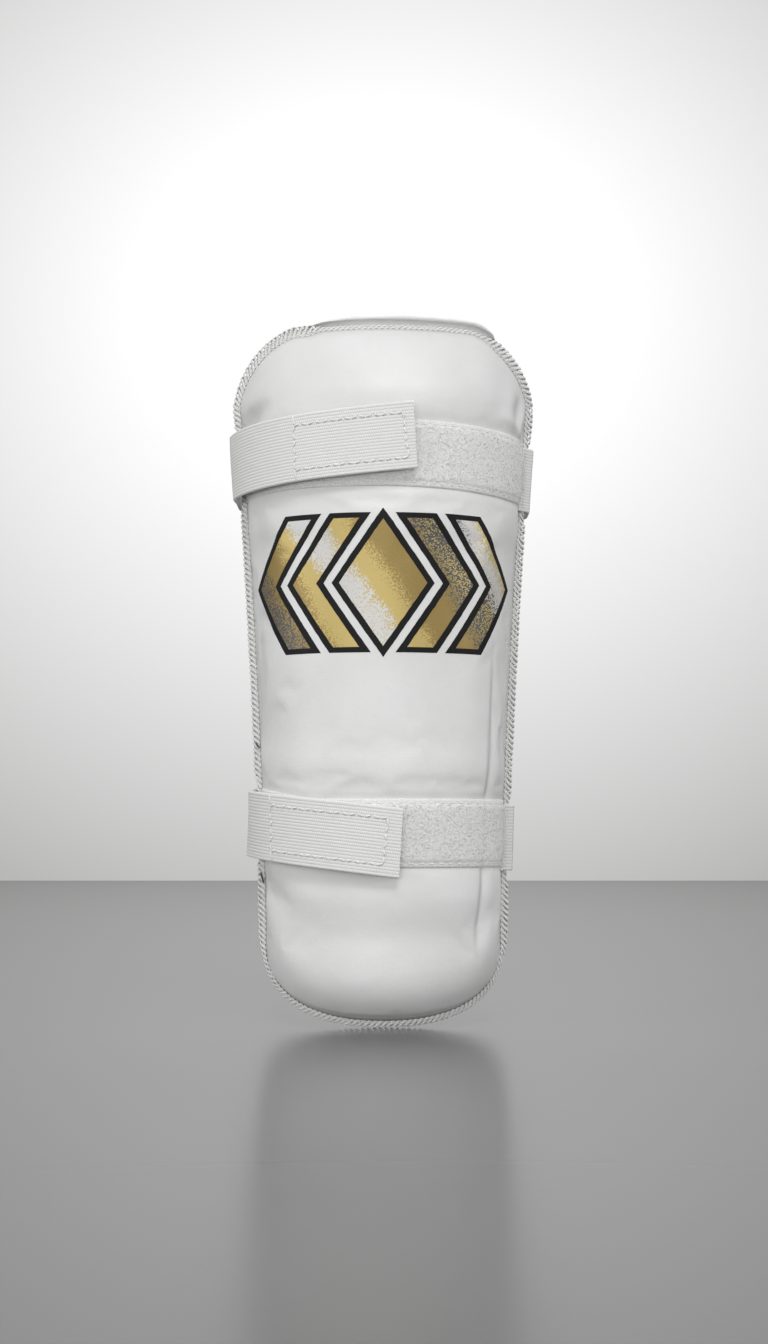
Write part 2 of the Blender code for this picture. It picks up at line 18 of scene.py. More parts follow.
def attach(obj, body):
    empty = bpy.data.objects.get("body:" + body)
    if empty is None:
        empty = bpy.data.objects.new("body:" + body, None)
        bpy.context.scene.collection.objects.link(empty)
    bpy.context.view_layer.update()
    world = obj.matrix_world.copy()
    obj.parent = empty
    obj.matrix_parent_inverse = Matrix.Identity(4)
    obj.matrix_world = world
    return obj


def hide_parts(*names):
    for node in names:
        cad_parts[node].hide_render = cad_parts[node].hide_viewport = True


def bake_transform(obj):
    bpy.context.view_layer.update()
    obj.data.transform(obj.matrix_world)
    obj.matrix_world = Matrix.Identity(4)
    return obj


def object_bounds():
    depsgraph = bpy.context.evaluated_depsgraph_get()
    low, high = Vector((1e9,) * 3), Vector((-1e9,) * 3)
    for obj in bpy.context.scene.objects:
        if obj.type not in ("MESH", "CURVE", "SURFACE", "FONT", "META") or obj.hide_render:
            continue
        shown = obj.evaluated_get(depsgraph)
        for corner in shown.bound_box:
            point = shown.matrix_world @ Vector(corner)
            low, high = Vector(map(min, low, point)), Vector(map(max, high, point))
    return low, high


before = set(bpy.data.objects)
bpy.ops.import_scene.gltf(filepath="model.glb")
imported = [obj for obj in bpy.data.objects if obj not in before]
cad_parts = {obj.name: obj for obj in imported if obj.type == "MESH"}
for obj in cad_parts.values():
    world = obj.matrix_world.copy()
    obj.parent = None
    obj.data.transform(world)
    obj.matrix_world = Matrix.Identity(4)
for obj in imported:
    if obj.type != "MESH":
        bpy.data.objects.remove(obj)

CAD_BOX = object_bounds()
MM = 0.001

# Outline of the pad and its padding, as in the CAD
PAD_TOP, PAD_BOTTOM = 129.2 * MM, -131.0 * MM
TOP_FLAT, TOP_CORNER_DROP, TOP_CORNER_POWER = 0.5, 26.0 * MM, 1.5
BOTTOM_CORNER_RISE, BOTTOM_CORNER_POWER = 32.0 * MM, 2.2
WRIST_HALF_WIDTH, ELBOW_FLARE = 44.5 * MM, 10.8 * MM
FLARE_START, FLARE_LENGTH, FLARE_POWER = -110.0 * MM, 204.0 * MM, 1.5
EDGE_ANGLE = math.radians(52.0)
SEAM_HEIGHT, CROWN_HEIGHT = 1.9 * MM, 15.0 * MM
SIDE_REACH, SIDE_POWER = 45.0 * MM, 2.0
TOP_REACH, TOP_POWER = 34.0 * MM, 2.0
BOTTOM_REACH, BOTTOM_POWER = 22.0 * MM, 2.6
RIM_RISE, RIM_CENTRE, RIM_SPAN = 3.8 * MM, 0.12, 0.56
THREAD_OUT, THREAD_TOP = 1.1 * MM, 2.0 * MM
BAND_WIDTH = 2.2 * MM

# Layers inside the pad, as in the CAD
GAP = 0.3 * MM
FOAM_INSET, LINING_THICKNESS = 5.0 * MM, 0.8 * MM
COMFORT_DEPTH, POCKET_START, PLATE_THICKNESS = 3.6 * MM, 6.0 * MM, 1.8 * MM

# Straps, as in the CAD
WEBBING, HOOK_WIDTH = 25.0 * MM, 20.0 * MM
STRAP_THICKNESS = 1.4 * MM
FLAP_LIFT = 4.4 * MM
TAPE_END_LEFT, TAPE_END_RIGHT = 3.0 * MM, 5.0 * MM
EDGE_TURN = 7.0 * MM
BAND_TUCK = 0.2 * MM
ANCHOR_FRONT, ANCHOR_BACK = 4.6 * MM, 13.0 * MM
PATCH_LENGTH = 48.0 * MM

# Emblem, as in the CAD
EMBLEM_Z = 30.0 * MM
LOZENGE_HALF_WIDTH, EMBLEM_HALF_HEIGHT = 13.5 * MM, 24.0 * MM
CHEVRON_WIDTH, CHEVRON_GAP = 8.5 * MM, 6.5 * MM
OUTLINE = 1.7 * MM
INK_SPREAD = 0.3 * MM          # black that creeps over the edge of the gold
FILM_DEPTH, BLACK_LIFT, GOLD_LIFT = 0.03 * MM, 0.07 * MM, 0.12 * MM
LOZENGE_CELLS, CHEVRON_CELLS = (50, 50), (16, 90)

# Weave of the elastic: ribs between two plain selvedges
RIBS = 19
SELVEDGE_WIDTH = 1.3 * MM
RIB_PITCH = (WEBBING - 2 * SELVEDGE_WIDTH) / RIBS
RIB_DEPTH = 0.14 * MM
WEBBING_STEP = 1.1 * MM        # between points along it

# Stitches: pitch, share of it between two stitches, and sideways sway
BOX_STITCH = (2.7 * MM, 0.34, 0.30 * MM)
TAPE_STITCH = (3.0 * MM, 0.34, 0.0)
ANCHOR_STITCH = (2.6 * MM, 0.3, 0.0)
BOX_SIDE, BOX_TAIL = 4.2 * MM, 11.8 * MM       # in from the edge, out from the middle


class Strap:
    """One elastic strap: heights of its middle along its run, and other sizes in millimetres.

    box is where its thread box starts and ends, counted from the free end.
    """

    def __init__(self, name, slant_power, box, **sizes):
        self.name, self.slant_power = name, slant_power
        self.box = tuple(x * MM for x in box)
        for key, value in sizes.items():
            setattr(self, key, value * MM)


STRAPS = (
    Strap("upper", 2.2, (3.6, 45.0), tape_z=78.2, anchor_z=74.9, edge_z=78.3, free_z=84.1,
          free_s=9.2, hinge_back=12.0, back_depth=20.0,
          tape_lift=0.0, tape_drop=2.0, stand_off=0.0),
    Strap("lower", 1.4, (5.6, 52.0), tape_z=-61.3, anchor_z=-62.9, edge_z=-56.8, free_z=-64.9,
          free_s=4.8, hinge_back=10.5, back_depth=13.0,
          tape_lift=4.5, tape_drop=0.0, stand_off=2.6),
)


# ---------------------------------------------------------------- chart of the gutter

def ease(t):
    t = np.clip(t, 0.0, 1.0)
    return t * t * (3.0 - 2.0 * t)


def half_width(z):
    share = np.maximum((z - FLARE_START) / FLARE_LENGTH, 0.0)
    return WRIST_HALF_WIDTH + ELBOW_FLARE * share ** FLARE_POWER


def gutter_radius(z):
    return half_width(z) / math.sin(EDGE_ANGLE)


def half_arc(z):
    return gutter_radius(z) * EDGE_ANGLE


def place(s, z, h):
    """Points of the chart in space."""
    s, z, h = np.broadcast_arrays(s, z, h)
    radius = gutter_radius(z)
    angle = s / radius
    return np.stack(((radius + h) * np.sin(angle), radius - (radius + h) * np.cos(angle), z), -1)


def outward(s, z):
    """Direction of growing h."""
    angle = s / gutter_radius(z)
    return np.stack(np.broadcast_arrays(np.sin(angle), -np.cos(angle), 0.0 * z), -1)


def corner_fall(u, power):
    return 1.0 - (1.0 - np.minimum(np.abs(u), 1.0) ** power) ** (1.0 / power)


def top_line(u):
    past = np.maximum((np.abs(u) - TOP_FLAT) / (1.0 - TOP_FLAT), 0.0)
    return PAD_TOP - TOP_CORNER_DROP * corner_fall(past, TOP_CORNER_POWER)


def bottom_line(u):
    return PAD_BOTTOM + BOTTOM_CORNER_RISE * corner_fall(u, BOTTOM_CORNER_POWER)


def shoulder(distance, reach, power):
    return 1.0 - (1.0 - np.clip(distance / reach, 0.0, 1.0)) ** power


def front_height(s, z):
    """Height of the CAD cover's outer face."""
    half = half_arc(z)
    u = s / half
    swell = (shoulder(half - np.abs(s), SIDE_REACH, SIDE_POWER)
             * shoulder(top_line(u) - z, TOP_REACH, TOP_POWER)
             * shoulder(z - bottom_line(u), BOTTOM_REACH, BOTTOM_POWER))
    return SEAM_HEIGHT + (CROWN_HEIGHT - SEAM_HEIGHT) * swell


def under_rim(s, z):
    """1 where the rolled hem rises behind the top seam, and 0 away from it."""
    share = np.abs(s / half_arc(z) - RIM_CENTRE) / RIM_SPAN
    return (1.0 - ease((share - 0.80) / 0.2)) * (z > 0.0)


def low_edge(z):
    """1 along the bottom of the pad, where the thread is drawn in tight, and 0 above it."""
    return ease((-97.0 * MM - z) / (14.0 * MM))


def band_width(s, z):
    """How far the overlocked thread reaches in from the edge."""
    return BAND_WIDTH - 1.3 * MM * under_rim(s, z) - 1.1 * MM * low_edge(z)


def stuffing(s, z):
    """Depth that all the padding takes up."""
    return front_height(s, z) - FACE_DROP - LINING_THICKNESS - GAP


def comfort_top(s, z):
    """Height of the comfort foam's face, under the other layers."""
    return LINING_THICKNESS + GAP / 2 + np.minimum(0.5 * stuffing(s, z), COMFORT_DEPTH)


def outline(per_side):
    """(s, z) round the pad's outline, anticlockwise from the lower left."""
    even = np.arange(per_side) / per_side
    swing = np.sin(np.pi / 2 * (2.0 * even - 1.0))
    ones = np.ones(per_side)
    u = np.concatenate((swing, ones, -swing, -ones))
    v = np.concatenate((0 * ones, even, ones, 1.0 - even))
    z = bottom_line(u) * (1.0 - v) + top_line(u) * v
    return np.stack((u * half_arc(z), z), -1)


def pad_grid(inset, columns, rows):
    """(s, z) over the pad's outline, drawn in by inset."""
    even = np.linspace(0.0, 1.0, rows + 1)
    v = 0.5 * even + 0.25 * (1.0 - np.cos(np.pi * even))
    u = np.sin(np.pi / 2 * np.linspace(-1.0, 1.0, columns + 1))
    u, v = np.meshgrid(u, v)
    z = (bottom_line(u) + inset) * (1.0 - v) + (top_line(u) - inset) * v
    return u * (half_arc(z) - inset), z


def outline_tree():
    points = outline(700)
    tree = KDTree(len(points))
    for i, (s, z) in enumerate(points):
        tree.insert((s, z, 0.0), i)
    tree.balance()
    return tree


EDGE = outline_tree()


def edge_distance(s, z):
    """Distance from the pad's outline, seen flat."""
    flat = [EDGE.find((a, b, 0.0))[2] for a, b in zip(np.ravel(s), np.ravel(z))]
    return np.reshape(flat, np.shape(s))


def clouds(points, scale, seed, octaves=2):
    """Smooth noise between about -1 and 1 at points, with features of about scale."""
    shift = Vector((seed * 7.31, seed * 3.17, seed * 5.77))
    flat = np.reshape(points, (-1, 3)) / scale
    values = [noise.fractal(Vector(p) + shift, 1.0, 2.0, octaves) for p in flat]
    return np.reshape(values, np.shape(points)[:-1])


def on_chart(s, z):
    """Points (s, z, 0), for noise that follows the chart."""
    return np.stack((s, z, 0 * s), -1)


def unit(vectors):
    return vectors / np.linalg.norm(vectors, axis=-1, keepdims=True)


def running_length(points, axis=0):
    """Length along a line of points, from 0 at its start."""
    steps = np.linalg.norm(np.diff(points, axis=axis), axis=-1)
    total = np.cumsum(steps, axis=axis)
    return np.concatenate((np.zeros_like(np.take(steps, [0], axis)), total), axis)


def near(off, reach):
    """Soft bump: 1 where off is 0, gone by about twice the reach."""
    return np.exp(-(off / reach) ** 2)


def unit_grid(columns, rows):
    """Grid of columns by rows cells over 0 to 1 both ways."""
    return np.meshgrid(np.linspace(0.0, 1.0, columns + 1), np.linspace(0.0, 1.0, rows + 1))


# ---------------------------------------------------------------- meshes from arrays

def link(name, data):
    thing = bpy.data.objects.new(name, data)
    bpy.context.scene.collection.objects.link(thing)
    return thing


def new_object(name, points, quads, uv, material, closed=True):
    """Object of quads; uv holds one (u, v) for every point."""
    mesh = bpy.data.meshes.new(name)
    mesh.vertices.add(len(points))
    mesh.vertices.foreach_set("co", np.asarray(points, np.float32).ravel())
    mesh.loops.add(quads.size)
    mesh.loops.foreach_set("vertex_index", quads.astype(np.int32).ravel())
    mesh.polygons.add(len(quads))
    mesh.polygons.foreach_set("loop_start", np.arange(0, quads.size, 4, dtype=np.int32))
    layer = mesh.uv_layers.new(name="UVMap")
    layer.data.foreach_set("uv", np.asarray(uv, np.float32)[quads.ravel()].ravel())
    mesh.update(calc_edges=True)
    if closed:
        face_outwards(mesh)
    mesh.shade_smooth()
    mesh.materials.append(material)
    return link(name, mesh)


def face_outwards(mesh):
    bm = bmesh.new()
    bm.from_mesh(mesh)
    bmesh.ops.recalc_face_normals(bm, faces=bm.faces)
    bm.to_mesh(mesh)
    bm.free()


def grid_quads(rows, columns):
    """Quads of a grid of rows by columns points."""
    index = np.arange(rows * columns).reshape(rows, columns)
    corners = (index[:-1, :-1], index[:-1, 1:], index[1:, 1:], index[1:, :-1])
    return np.stack(corners, -1).reshape(-1, 4)


def slab(name, lower, upper, u, v, material):
    """Closed solid between two grids of points; upper is the face that shows."""
    rows, columns = upper.shape[:2]
    count = rows * columns
    index = np.arange(count).reshape(rows, columns)
    rim = np.concatenate((index[0, :-1], index[:-1, -1], index[-1, :0:-1], index[:0:-1, 0]))
    after = np.roll(rim, -1)
    side = np.stack((rim + count, after + count, after, rim), -1)
    top = grid_quads(rows, columns)
    quads = np.concatenate((top, top[:, ::-1] + count, side))
    points = np.concatenate((upper.reshape(-1, 3), lower.reshape(-1, 3)))
    uv = np.stack(np.broadcast_arrays(u, v), -1).reshape(-1, 2) / MM
    piece = new_object(name, points, quads, np.concatenate((uv, uv)), material)
    piece.data.set_sharp_from_angle(angle=math.radians(60.0))
    return piece


def chart_slab(name, s, z, lower, upper, material):
    """The same between two heights over the chart."""
    return slab(name, place(s, z, lower), place(s, z, upper), s, z, material)


def tubes(name, paths, ups, wide, thick, material, sides=6):
    """Capped tubes of even-numbered sides along paths (number, points, 3).

    ups gives the direction of the section's thick axis at each point; wide and thick
    are half sizes and may be numbers or arrays of (number, points).
    """
    number, count = paths.shape[:2]
    along = unit(np.gradient(paths, axis=1))
    side = unit(np.cross(along, ups))
    over = np.cross(side, along)
    wide = np.broadcast_to(wide, (number, count))[..., None, None]
    thick = np.broadcast_to(thick, (number, count))[..., None, None]
    turn = 2 * np.pi * np.arange(sides) / sides
    ring = (paths[:, :, None] + wide * np.cos(turn)[:, None] * side[:, :, None]
            + thick * np.sin(turn)[:, None] * over[:, :, None])
    index = np.arange(number * count * sides).reshape(number, count, sides)
    after = np.roll(index, -1, axis=2)
    walls = np.stack((index[:, :-1], after[:, :-1], after[:, 1:], index[:, 1:]), -1)
    caps = []
    for k in range(1, sides - 2, 2):
        caps.append(index[:, 0][:, [0, k + 2, k + 1, k]])
        caps.append(index[:, -1][:, [0, k, k + 1, k + 2]])
    run = running_length(paths, 1) / MM
    uv = np.stack(np.broadcast_arrays(run[..., None], np.arange(sides) / sides), -1)
    quads = np.concatenate([walls.reshape(-1, 4)] + caps)
    return new_object(name, ring.reshape(-1, 3), quads, uv.reshape(-1, 2), material)


def ring_tube(name, sections, u, material):
    """Closed ring swept through sections (number, points, 3); u is the run at each one."""
    number, count = sections.shape[:2]
    index = np.arange(number * count).reshape(number, count)
    across, onward = np.roll(index, -1, axis=1), np.roll(index, -1, axis=0)
    both = np.roll(across, -1, axis=0)
    quads = np.stack((index, across, both, onward), -1).reshape(-1, 4)
    uv = np.stack(np.broadcast_arrays(u[:, None] / MM, np.arange(count) / count), -1)
    return new_object(name, sections.reshape(-1, 3), quads, uv.reshape(-1, 2), material)


def join(name, *pieces):
    """Join pieces into the first one and name it."""
    with bpy.context.temp_override(active_object=pieces[0],
                                   selected_editable_objects=list(pieces)):
        bpy.ops.object.join()
    pieces[0].name = name
    return pieces[0]


def stand_in(piece, node, body="root"):
    """Let a piece show in place of a CAD node, riding on a body."""
    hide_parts(node)
    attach(piece, body)


# ---------------------------------------------------------------- materials

class Shader:
    """Node tree of one material, with its Principled BSDF at hand."""

    def __init__(self, name):
        self.material = bpy.data.materials.new(name)
        self.material.use_nodes = True
        self.tree = self.material.node_tree
        self.surface = self.tree.nodes["Principled BSDF"]

    def add(self, kind, inputs=None, **settings):
        node = self.tree.nodes.new("ShaderNode" + kind)
        for key, value in settings.items():
            setattr(node, key, value)
        for key, value in (inputs or {}).items():
            self.feed(node.inputs[key], value)
        return node

    def feed(self, socket, value):
        if isinstance(value, bpy.types.NodeSocket):
            self.tree.links.new(value, socket)
        else:
            socket.default_value = value

    def math(self, operation, first, second=0.0, third=0.0):
        return self.add("Math", {0: first, 1: second, 2: third}, operation=operation).outputs[0]

    def uv(self):
        """Texture coordinates of the piece in millimetres: both, the first and the second."""
        both = self.add("UVMap").outputs[0]
        return both, *self.split(both)[:2]

    def solid(self):
        """Object coordinates in millimetres."""
        spot = self.add("TexCoord").outputs["Object"]
        return self.add("VectorMath", {0: spot, "Scale": 1.0 / MM}, operation="SCALE").outputs[0]

    def split(self, vector):
        return self.add("SeparateXYZ", {0: vector}).outputs

    def noise(self, vector, size, detail=2.0, roughness=0.5, stretch=None):
        """Noise from 0 to 1 with features of about size millimetres."""
        if stretch:
            vector = self.add("Mapping", {"Vector": vector, "Scale": stretch}).outputs[0]
        return self.add("TexNoise", {"Vector": vector, "Scale": 1.0 / size, "Detail": detail,
                                     "Roughness": roughness}).outputs[0]

    def cells(self, vector, size, feature="F1"):
        return self.add("TexVoronoi", {"Vector": vector, "Scale": 1.0 / size},
                        feature=feature).outputs["Distance"]

    def wave(self, value, pitch, phase=0.0):
        """Sine from 0 to 1 of a value in millimetres."""
        turn = self.scaled(value, 2 * math.pi / pitch, phase)
        return self.scaled(self.math("SINE", turn), 0.5, 0.5)

    def span(self, value, low, high, to_low=0.0, to_high=1.0):
        """Map a value from low..high to to_low..to_high, clamped."""
        return self.add("MapRange", {0: value, 1: low, 2: high, 3: to_low, 4: to_high}).outputs[0]

    def product(self, first, second):
        return self.math("MULTIPLY", first, second)

    def total(self, first, *others):
        for other in others:
            first = self.math("ADD", first, other)
        return first

    def scaled(self, value, scale, shift):
        return self.math("MULTIPLY_ADD", value, scale, shift)

    def tint(self, tone, mask, strength, colour):
        """Lay a colour over tone, by a mask times a strength."""
        return self.mix(self.product(mask, strength), tone, colour)

    def pebbles(self):
        """Pressed grain of the coated fabric."""
        return self.cells(self.uv()[0], 0.85, "SMOOTH_F1")

    def mix(self, share, first, second):
        node = self.add("Mix", data_type="RGBA")
        self.feed(node.inputs[0], share)
        for socket, value in ((node.inputs[6], first), (node.inputs[7], second)):
            if isinstance(value, tuple) and len(value) == 3:
                value = (*value, 1.0)
            self.feed(socket, value)
        return node.outputs[2]

    def bump(self, *layers):
        """Chain of bumps, each (height, depth in millimetres)."""
        normal = None
        for height, depth in layers:
            node = self.add("Bump", {"Height": height, "Distance": depth * MM, "Strength": 1.0})
            if normal is not None:
                self.feed(node.inputs["Normal"], normal)
            normal = node.outputs[0]
        self.feed(self.surface.inputs["Normal"], normal)

    def finish(self, colour, roughness, **inputs):
        """Set the surface and return the material; other inputs are named with _ for spaces."""
        inputs.update(Base_Color=colour, Roughness=roughness)
        for key, value in inputs.items():
            self.feed(self.surface.inputs[key.replace("_", " ")], value)
        return self.material

    def fabric(self, colour, roughness, sheen, spread=0.5, **inputs):
        """The same with the sheen of fibres."""
        return self.finish(colour, roughness, Sheen_Weight=sheen, Sheen_Roughness=spread, **inputs)


def cover_finish():
    """Coated white fabric: soft sheen, fine pressed grain, grime and painted shade by the seam, a
    painted shadow line and painted crease shade.
    """
    sh = Shader("coated_cover")
    uv, u, v = sh.uv()
    seam = sh.add("Attribute", attribute_name="seam").outputs["Fac"]
    broad, fine = sh.noise(uv, 34.0, 3.0), sh.noise(uv, 2.2, 4.0, 0.6)
    tone = sh.mix(sh.span(broad, 0.35, 0.65), (0.735, 0.735, 0.722), (0.790, 0.790, 0.782))
    tone = sh.tint(tone, sh.span(fine, 0.5, 0.72), 0.10, (0.62, 0.62, 0.60))
    # Grime and painted shade: the cover darkens and yellows towards the seam, broken up by fine
    # noise.
    seam_grime_and_shade = sh.product(sh.span(seam, 0.0, 7.0, 0.30, 0.0), sh.span(fine, 0.25, 0.75))
    tone = sh.mix(seam_grime_and_shade, tone, (0.50, 0.49, 0.46))
    # Painted contact shadow: a thin dark line just inside the thread, strongest along the bottom
    # where the cover tucks under.
    low = sh.span(v, -108.0, -85.0, 0.95, 0.35)
    line = sh.product(sh.span(seam, 1.9, 2.2), sh.span(seam, 2.6, 3.9, 1.0, 0.0))
    tone = sh.tint(tone, line, low, (0.12, 0.118, 0.11))
    # Painted shade in the crease over the inner plate's right edge.
    crease = sh.add("Attribute", attribute_name="crease").outputs["Fac"]
    tone = sh.tint(tone, crease, 0.45, (0.42, 0.42, 0.42))
    weave = sh.product(sh.wave(u, 0.9), sh.wave(v, 0.9))
    sh.bump((sh.noise(uv, 16.0), 0.35), (weave, 0.010), (sh.pebbles(), 0.030), (fine, 0.022))
    rough = sh.span(sh.noise(uv, 7.0, 3.0), 0.3, 0.7, 0.40, 0.56)
    return sh.fabric(tone, rough, 0.10, Coat_Weight=0.12, Coat_Roughness=0.35,
                     Specular_IOR_Level=0.45)


def lining_finish():
    """Brushed knit lining: wales along the arm, soft pile and faint wear."""
    sh = Shader("knit_lining")
    uv, u, v = sh.uv()
    sway = sh.scaled(sh.wave(v, 1.3), 0.25, u)
    wales, courses = sh.wave(sway, 1.1), sh.wave(v, 0.65)
    knit = sh.product(wales, sh.scaled(courses, 0.5, 0.5))
    pile, broad = sh.noise(uv, 0.5, 3.0, 0.7), sh.noise(uv, 28.0, 3.0)
    tone = sh.mix(knit, (0.56, 0.56, 0.545), (0.76, 0.76, 0.745))
    tone = sh.tint(tone, sh.span(broad, 0.45, 0.7), 0.25, (0.60, 0.585, 0.55))
    sh.bump((knit, 0.16), (pile, 0.10))
    return sh.fabric(tone, 0.92, 0.35, 0.6)


def hem_finish():
    """Smooth white binding of the rolled hem: a fine twill, a slight crumple, painted shade on the
    band under the roll and a painted highlight along its top.
    """
    sh = Shader("rolled_hem")
    uv, u, v = sh.uv()
    twill, crumple = sh.wave(sh.total(u, v), 0.55), sh.noise(uv, 5.0, 3.0, 0.6)
    tone = sh.mix(sh.span(crumple, 0.3, 0.7), (0.74, 0.74, 0.725), (0.84, 0.84, 0.83))
    tone = sh.tint(tone, twill, 0.10, (0.60, 0.60, 0.58))
    # Painted shade on the band under the roll, and a painted highlight along the roll's front and
    # top.
    tone = sh.tint(tone, sh.span(v, 3.0, 3.4, 1.0, 0.0), 0.5, (0.46, 0.455, 0.435))
    tone = sh.tint(tone, sh.span(v, 3.2, 3.6), sh.span(v, 6.2, 7.2, 0.8, 0.0),
                  (0.93, 0.93, 0.925))
    sh.bump((crumple, 0.25), (twill, 0.02))
    return sh.fabric(tone, 0.7, 0.2)


def loop_finish():
    """Brushed loop pile: fine, even fuzz with a faint nap."""
    sh = Shader("loop_pile")
    uv = sh.uv()[0]
    clump, fibre = sh.noise(uv, 0.70, 3.0, 0.7), sh.noise(uv, 0.28, 3.0, 0.7)
    tone = sh.mix(sh.span(clump, 0.36, 0.64), (0.69, 0.69, 0.675), (0.89, 0.89, 0.875))
    tone = sh.tint(tone, sh.span(fibre, 0.5, 0.8), 0.3, (0.92, 0.92, 0.91))
    tone = sh.tint(tone, sh.span(sh.noise(uv, 14.0), 0.4, 0.7), 0.10,
                  (0.62, 0.61, 0.59))
    sh.bump((clump, 0.07), (fibre, 0.09))
    return sh.fabric(tone, 0.9, 0.6, 0.4)


def elastic_finish():
    """Woven elastic: fine picks over every rib, painted shade between ribs, plain at the
    selvedges.
    """
    sh = Shader("woven_elastic")
    uv, u, v = sh.uv()
    pitch = RIB_PITCH / MM
    share = sh.math("DIVIDE", v, pitch)
    rib = sh.math("MODULO", sh.math("FLOOR", sh.total(share, RIBS * 2.0 + 0.5)), 2.0)
    off = sh.math("ABSOLUTE", sh.math("SINE", sh.scaled(share, math.pi, math.pi / 2)))
    inside = sh.math("LESS_THAN", sh.math("ABSOLUTE", v), RIBS * pitch / 2 + 0.25)
    # Painted shade in the grooves between the ribs.
    groove_shade = sh.product(sh.span(off, 0.10, 0.55, 1.0, 0.0), inside)
    picks = sh.wave(sh.scaled(rib, 0.42, u), 0.84)
    fibre = sh.noise(uv, 0.30, 3.0, 0.65, (0.35, 1.0, 1.0))
    broad = sh.noise(uv, 18.0, 3.0)
    tone = sh.mix(sh.span(picks, 0.0, 0.7), (0.745, 0.743, 0.728), (0.845, 0.843, 0.830))
    tone = sh.tint(tone, groove_shade, 0.45, (0.38, 0.375, 0.36))
    tone = sh.tint(tone, sh.span(fibre, 0.5, 0.8), 0.16, (0.62, 0.61, 0.59))
    tone = sh.tint(tone, sh.span(broad, 0.42, 0.7), 0.10, (0.64, 0.63, 0.61))
    sh.bump((picks, 0.035), (fibre, 0.03))
    return sh.fabric(tone, 0.78, 0.25)


def thread_finish(name, light, dark, twist=0.75):
    """Plied thread: strands wind round it and a few fibres stand off."""
    sh = Shader(name)
    _, u, v = sh.uv()
    ply = sh.wave(sh.scaled(v, twist * 2.0, u), twist)
    fibre = sh.noise(sh.solid(), 0.22, 2.0, 0.7)
    tone = sh.mix(sh.span(ply, 0.0, 0.7), dark, light)
    tone = sh.mix(sh.product(sh.span(sh.noise(sh.solid(), 3.0), 0.45, 0.75), 0.35), tone, dark)
    sh.bump((ply, 0.07), (fibre, 0.04))
    return sh.fabric(tone, 0.68, 0.3)


def film_finish():
    """Black print: the grain of the fabric shows through, with pinholes and scuffs."""
    sh = Shader("black_print")
    uv = sh.uv()[0]
    grain, scuff = sh.noise(uv, 0.7, 4.0, 0.7), sh.noise(uv, 9.0, 4.0, 0.65)
    tone = sh.mix(sh.span(scuff, 0.35, 0.75), (0.004, 0.004, 0.004), (0.010, 0.010, 0.0095))
    tone = sh.tint(tone, sh.span(grain, 0.68, 0.82), 0.4, (0.10, 0.10, 0.095))
    sh.bump((sh.pebbles(), 0.03), (grain, 0.02))
    rough = sh.span(scuff, 0.3, 0.7, 0.50, 0.66)
    return sh.finish(tone, rough, Specular_IOR_Level=0.22)


def foil_finish():
    """Gold foil print that fades to pale silver and to soot, each fade broken into fine dots."""
    sh = Shader("gold_print")
    uv, u, v = sh.uv()
    slant = sh.scaled(v, 0.55, u)
    drift = sh.noise(uv, 22.0, 1.0)
    dots = sh.scaled(sh.span(sh.cells(uv, 0.55), 0.1, 0.7), 0.34, -0.17)
    flake = sh.noise(uv, 0.45, 3.0, 0.75)
    sheen = sh.total(sh.wave(slant, 46.0, 0.9), sh.product(drift, 0.5), dots)
    gold = sh.mix(sh.span(sheen, 0.50, 0.72), (0.310, 0.215, 0.060), (0.565, 0.430, 0.150))
    tone = sh.mix(sh.span(sheen, 1.12, 1.20), gold, (0.62, 0.62, 0.615))
    soot = sh.total(sh.wave(slant, 71.0, 4.1), sh.product(drift, 0.3), dots)
    tone = sh.mix(sh.span(soot, 1.08, 1.18), tone, (0.085, 0.085, 0.088))
    tone = sh.tint(tone, sh.span(flake, 0.54, 0.74), 0.25, (0.80, 0.70, 0.42))
    sh.bump((sh.pebbles(), 0.04), (flake, 0.03))
    rough = sh.span(flake, 0.3, 0.7, 0.34, 0.55)
    return sh.finish(tone, rough, Metallic=0.25)


def foam_finish(name, light, dark, cell):
    sh = Shader(name)
    solid = sh.solid()
    pores, broad = sh.cells(solid, cell), sh.noise(solid, 20.0, 3.0)
    tone = sh.mix(sh.span(pores, 0.1, 0.7), light, dark)
    tone = sh.tint(tone, broad, 0.2, dark)
    sh.bump((pores, 0.25 * cell), (sh.noise(solid, 0.4 * cell), 0.05))
    return sh.finish(tone, 0.95)


def plate_finish():
    """Milky moulded sheet with a faint matt texture and long scratches."""
    sh = Shader("moulded_plate")
    solid = sh.solid()
    matt, scratch = sh.noise(solid, 0.5, 3.0), sh.noise(solid, 1.6, 3.0, 0.6, (1.0, 1.0, 0.05))
    tone = sh.mix(sh.noise(solid, 24.0, 2.0), (0.70, 0.71, 0.70), (0.80, 0.80, 0.78))
    tone = sh.mix(sh.span(scratch, 0.62, 0.7, 0.0, 0.3), tone, (0.9, 0.9, 0.9))
    sh.bump((matt, 0.03), (scratch, 0.03))
    return sh.finish(tone, sh.span(matt, 0.3, 0.7, 0.38, 0.52))


def hook_finish():
    """Moulded nylon hook strip, slightly yellow and clear."""
    sh = Shader("hook_nylon")
    uv, solid = sh.uv()[0], sh.solid()
    grain = sh.noise(solid, 0.6, 3.0)
    tone = sh.mix(grain, (0.66, 0.66, 0.63), (0.80, 0.80, 0.77))
    tone = sh.tint(tone, sh.noise(uv, 6.0), 0.2, (0.60, 0.58, 0.52))
    sh.bump((grain, 0.05), (sh.noise(solid, 0.2), 0.02))
    return sh.finish(tone, sh.span(grain, 0.3, 0.7, 0.35, 0.55))


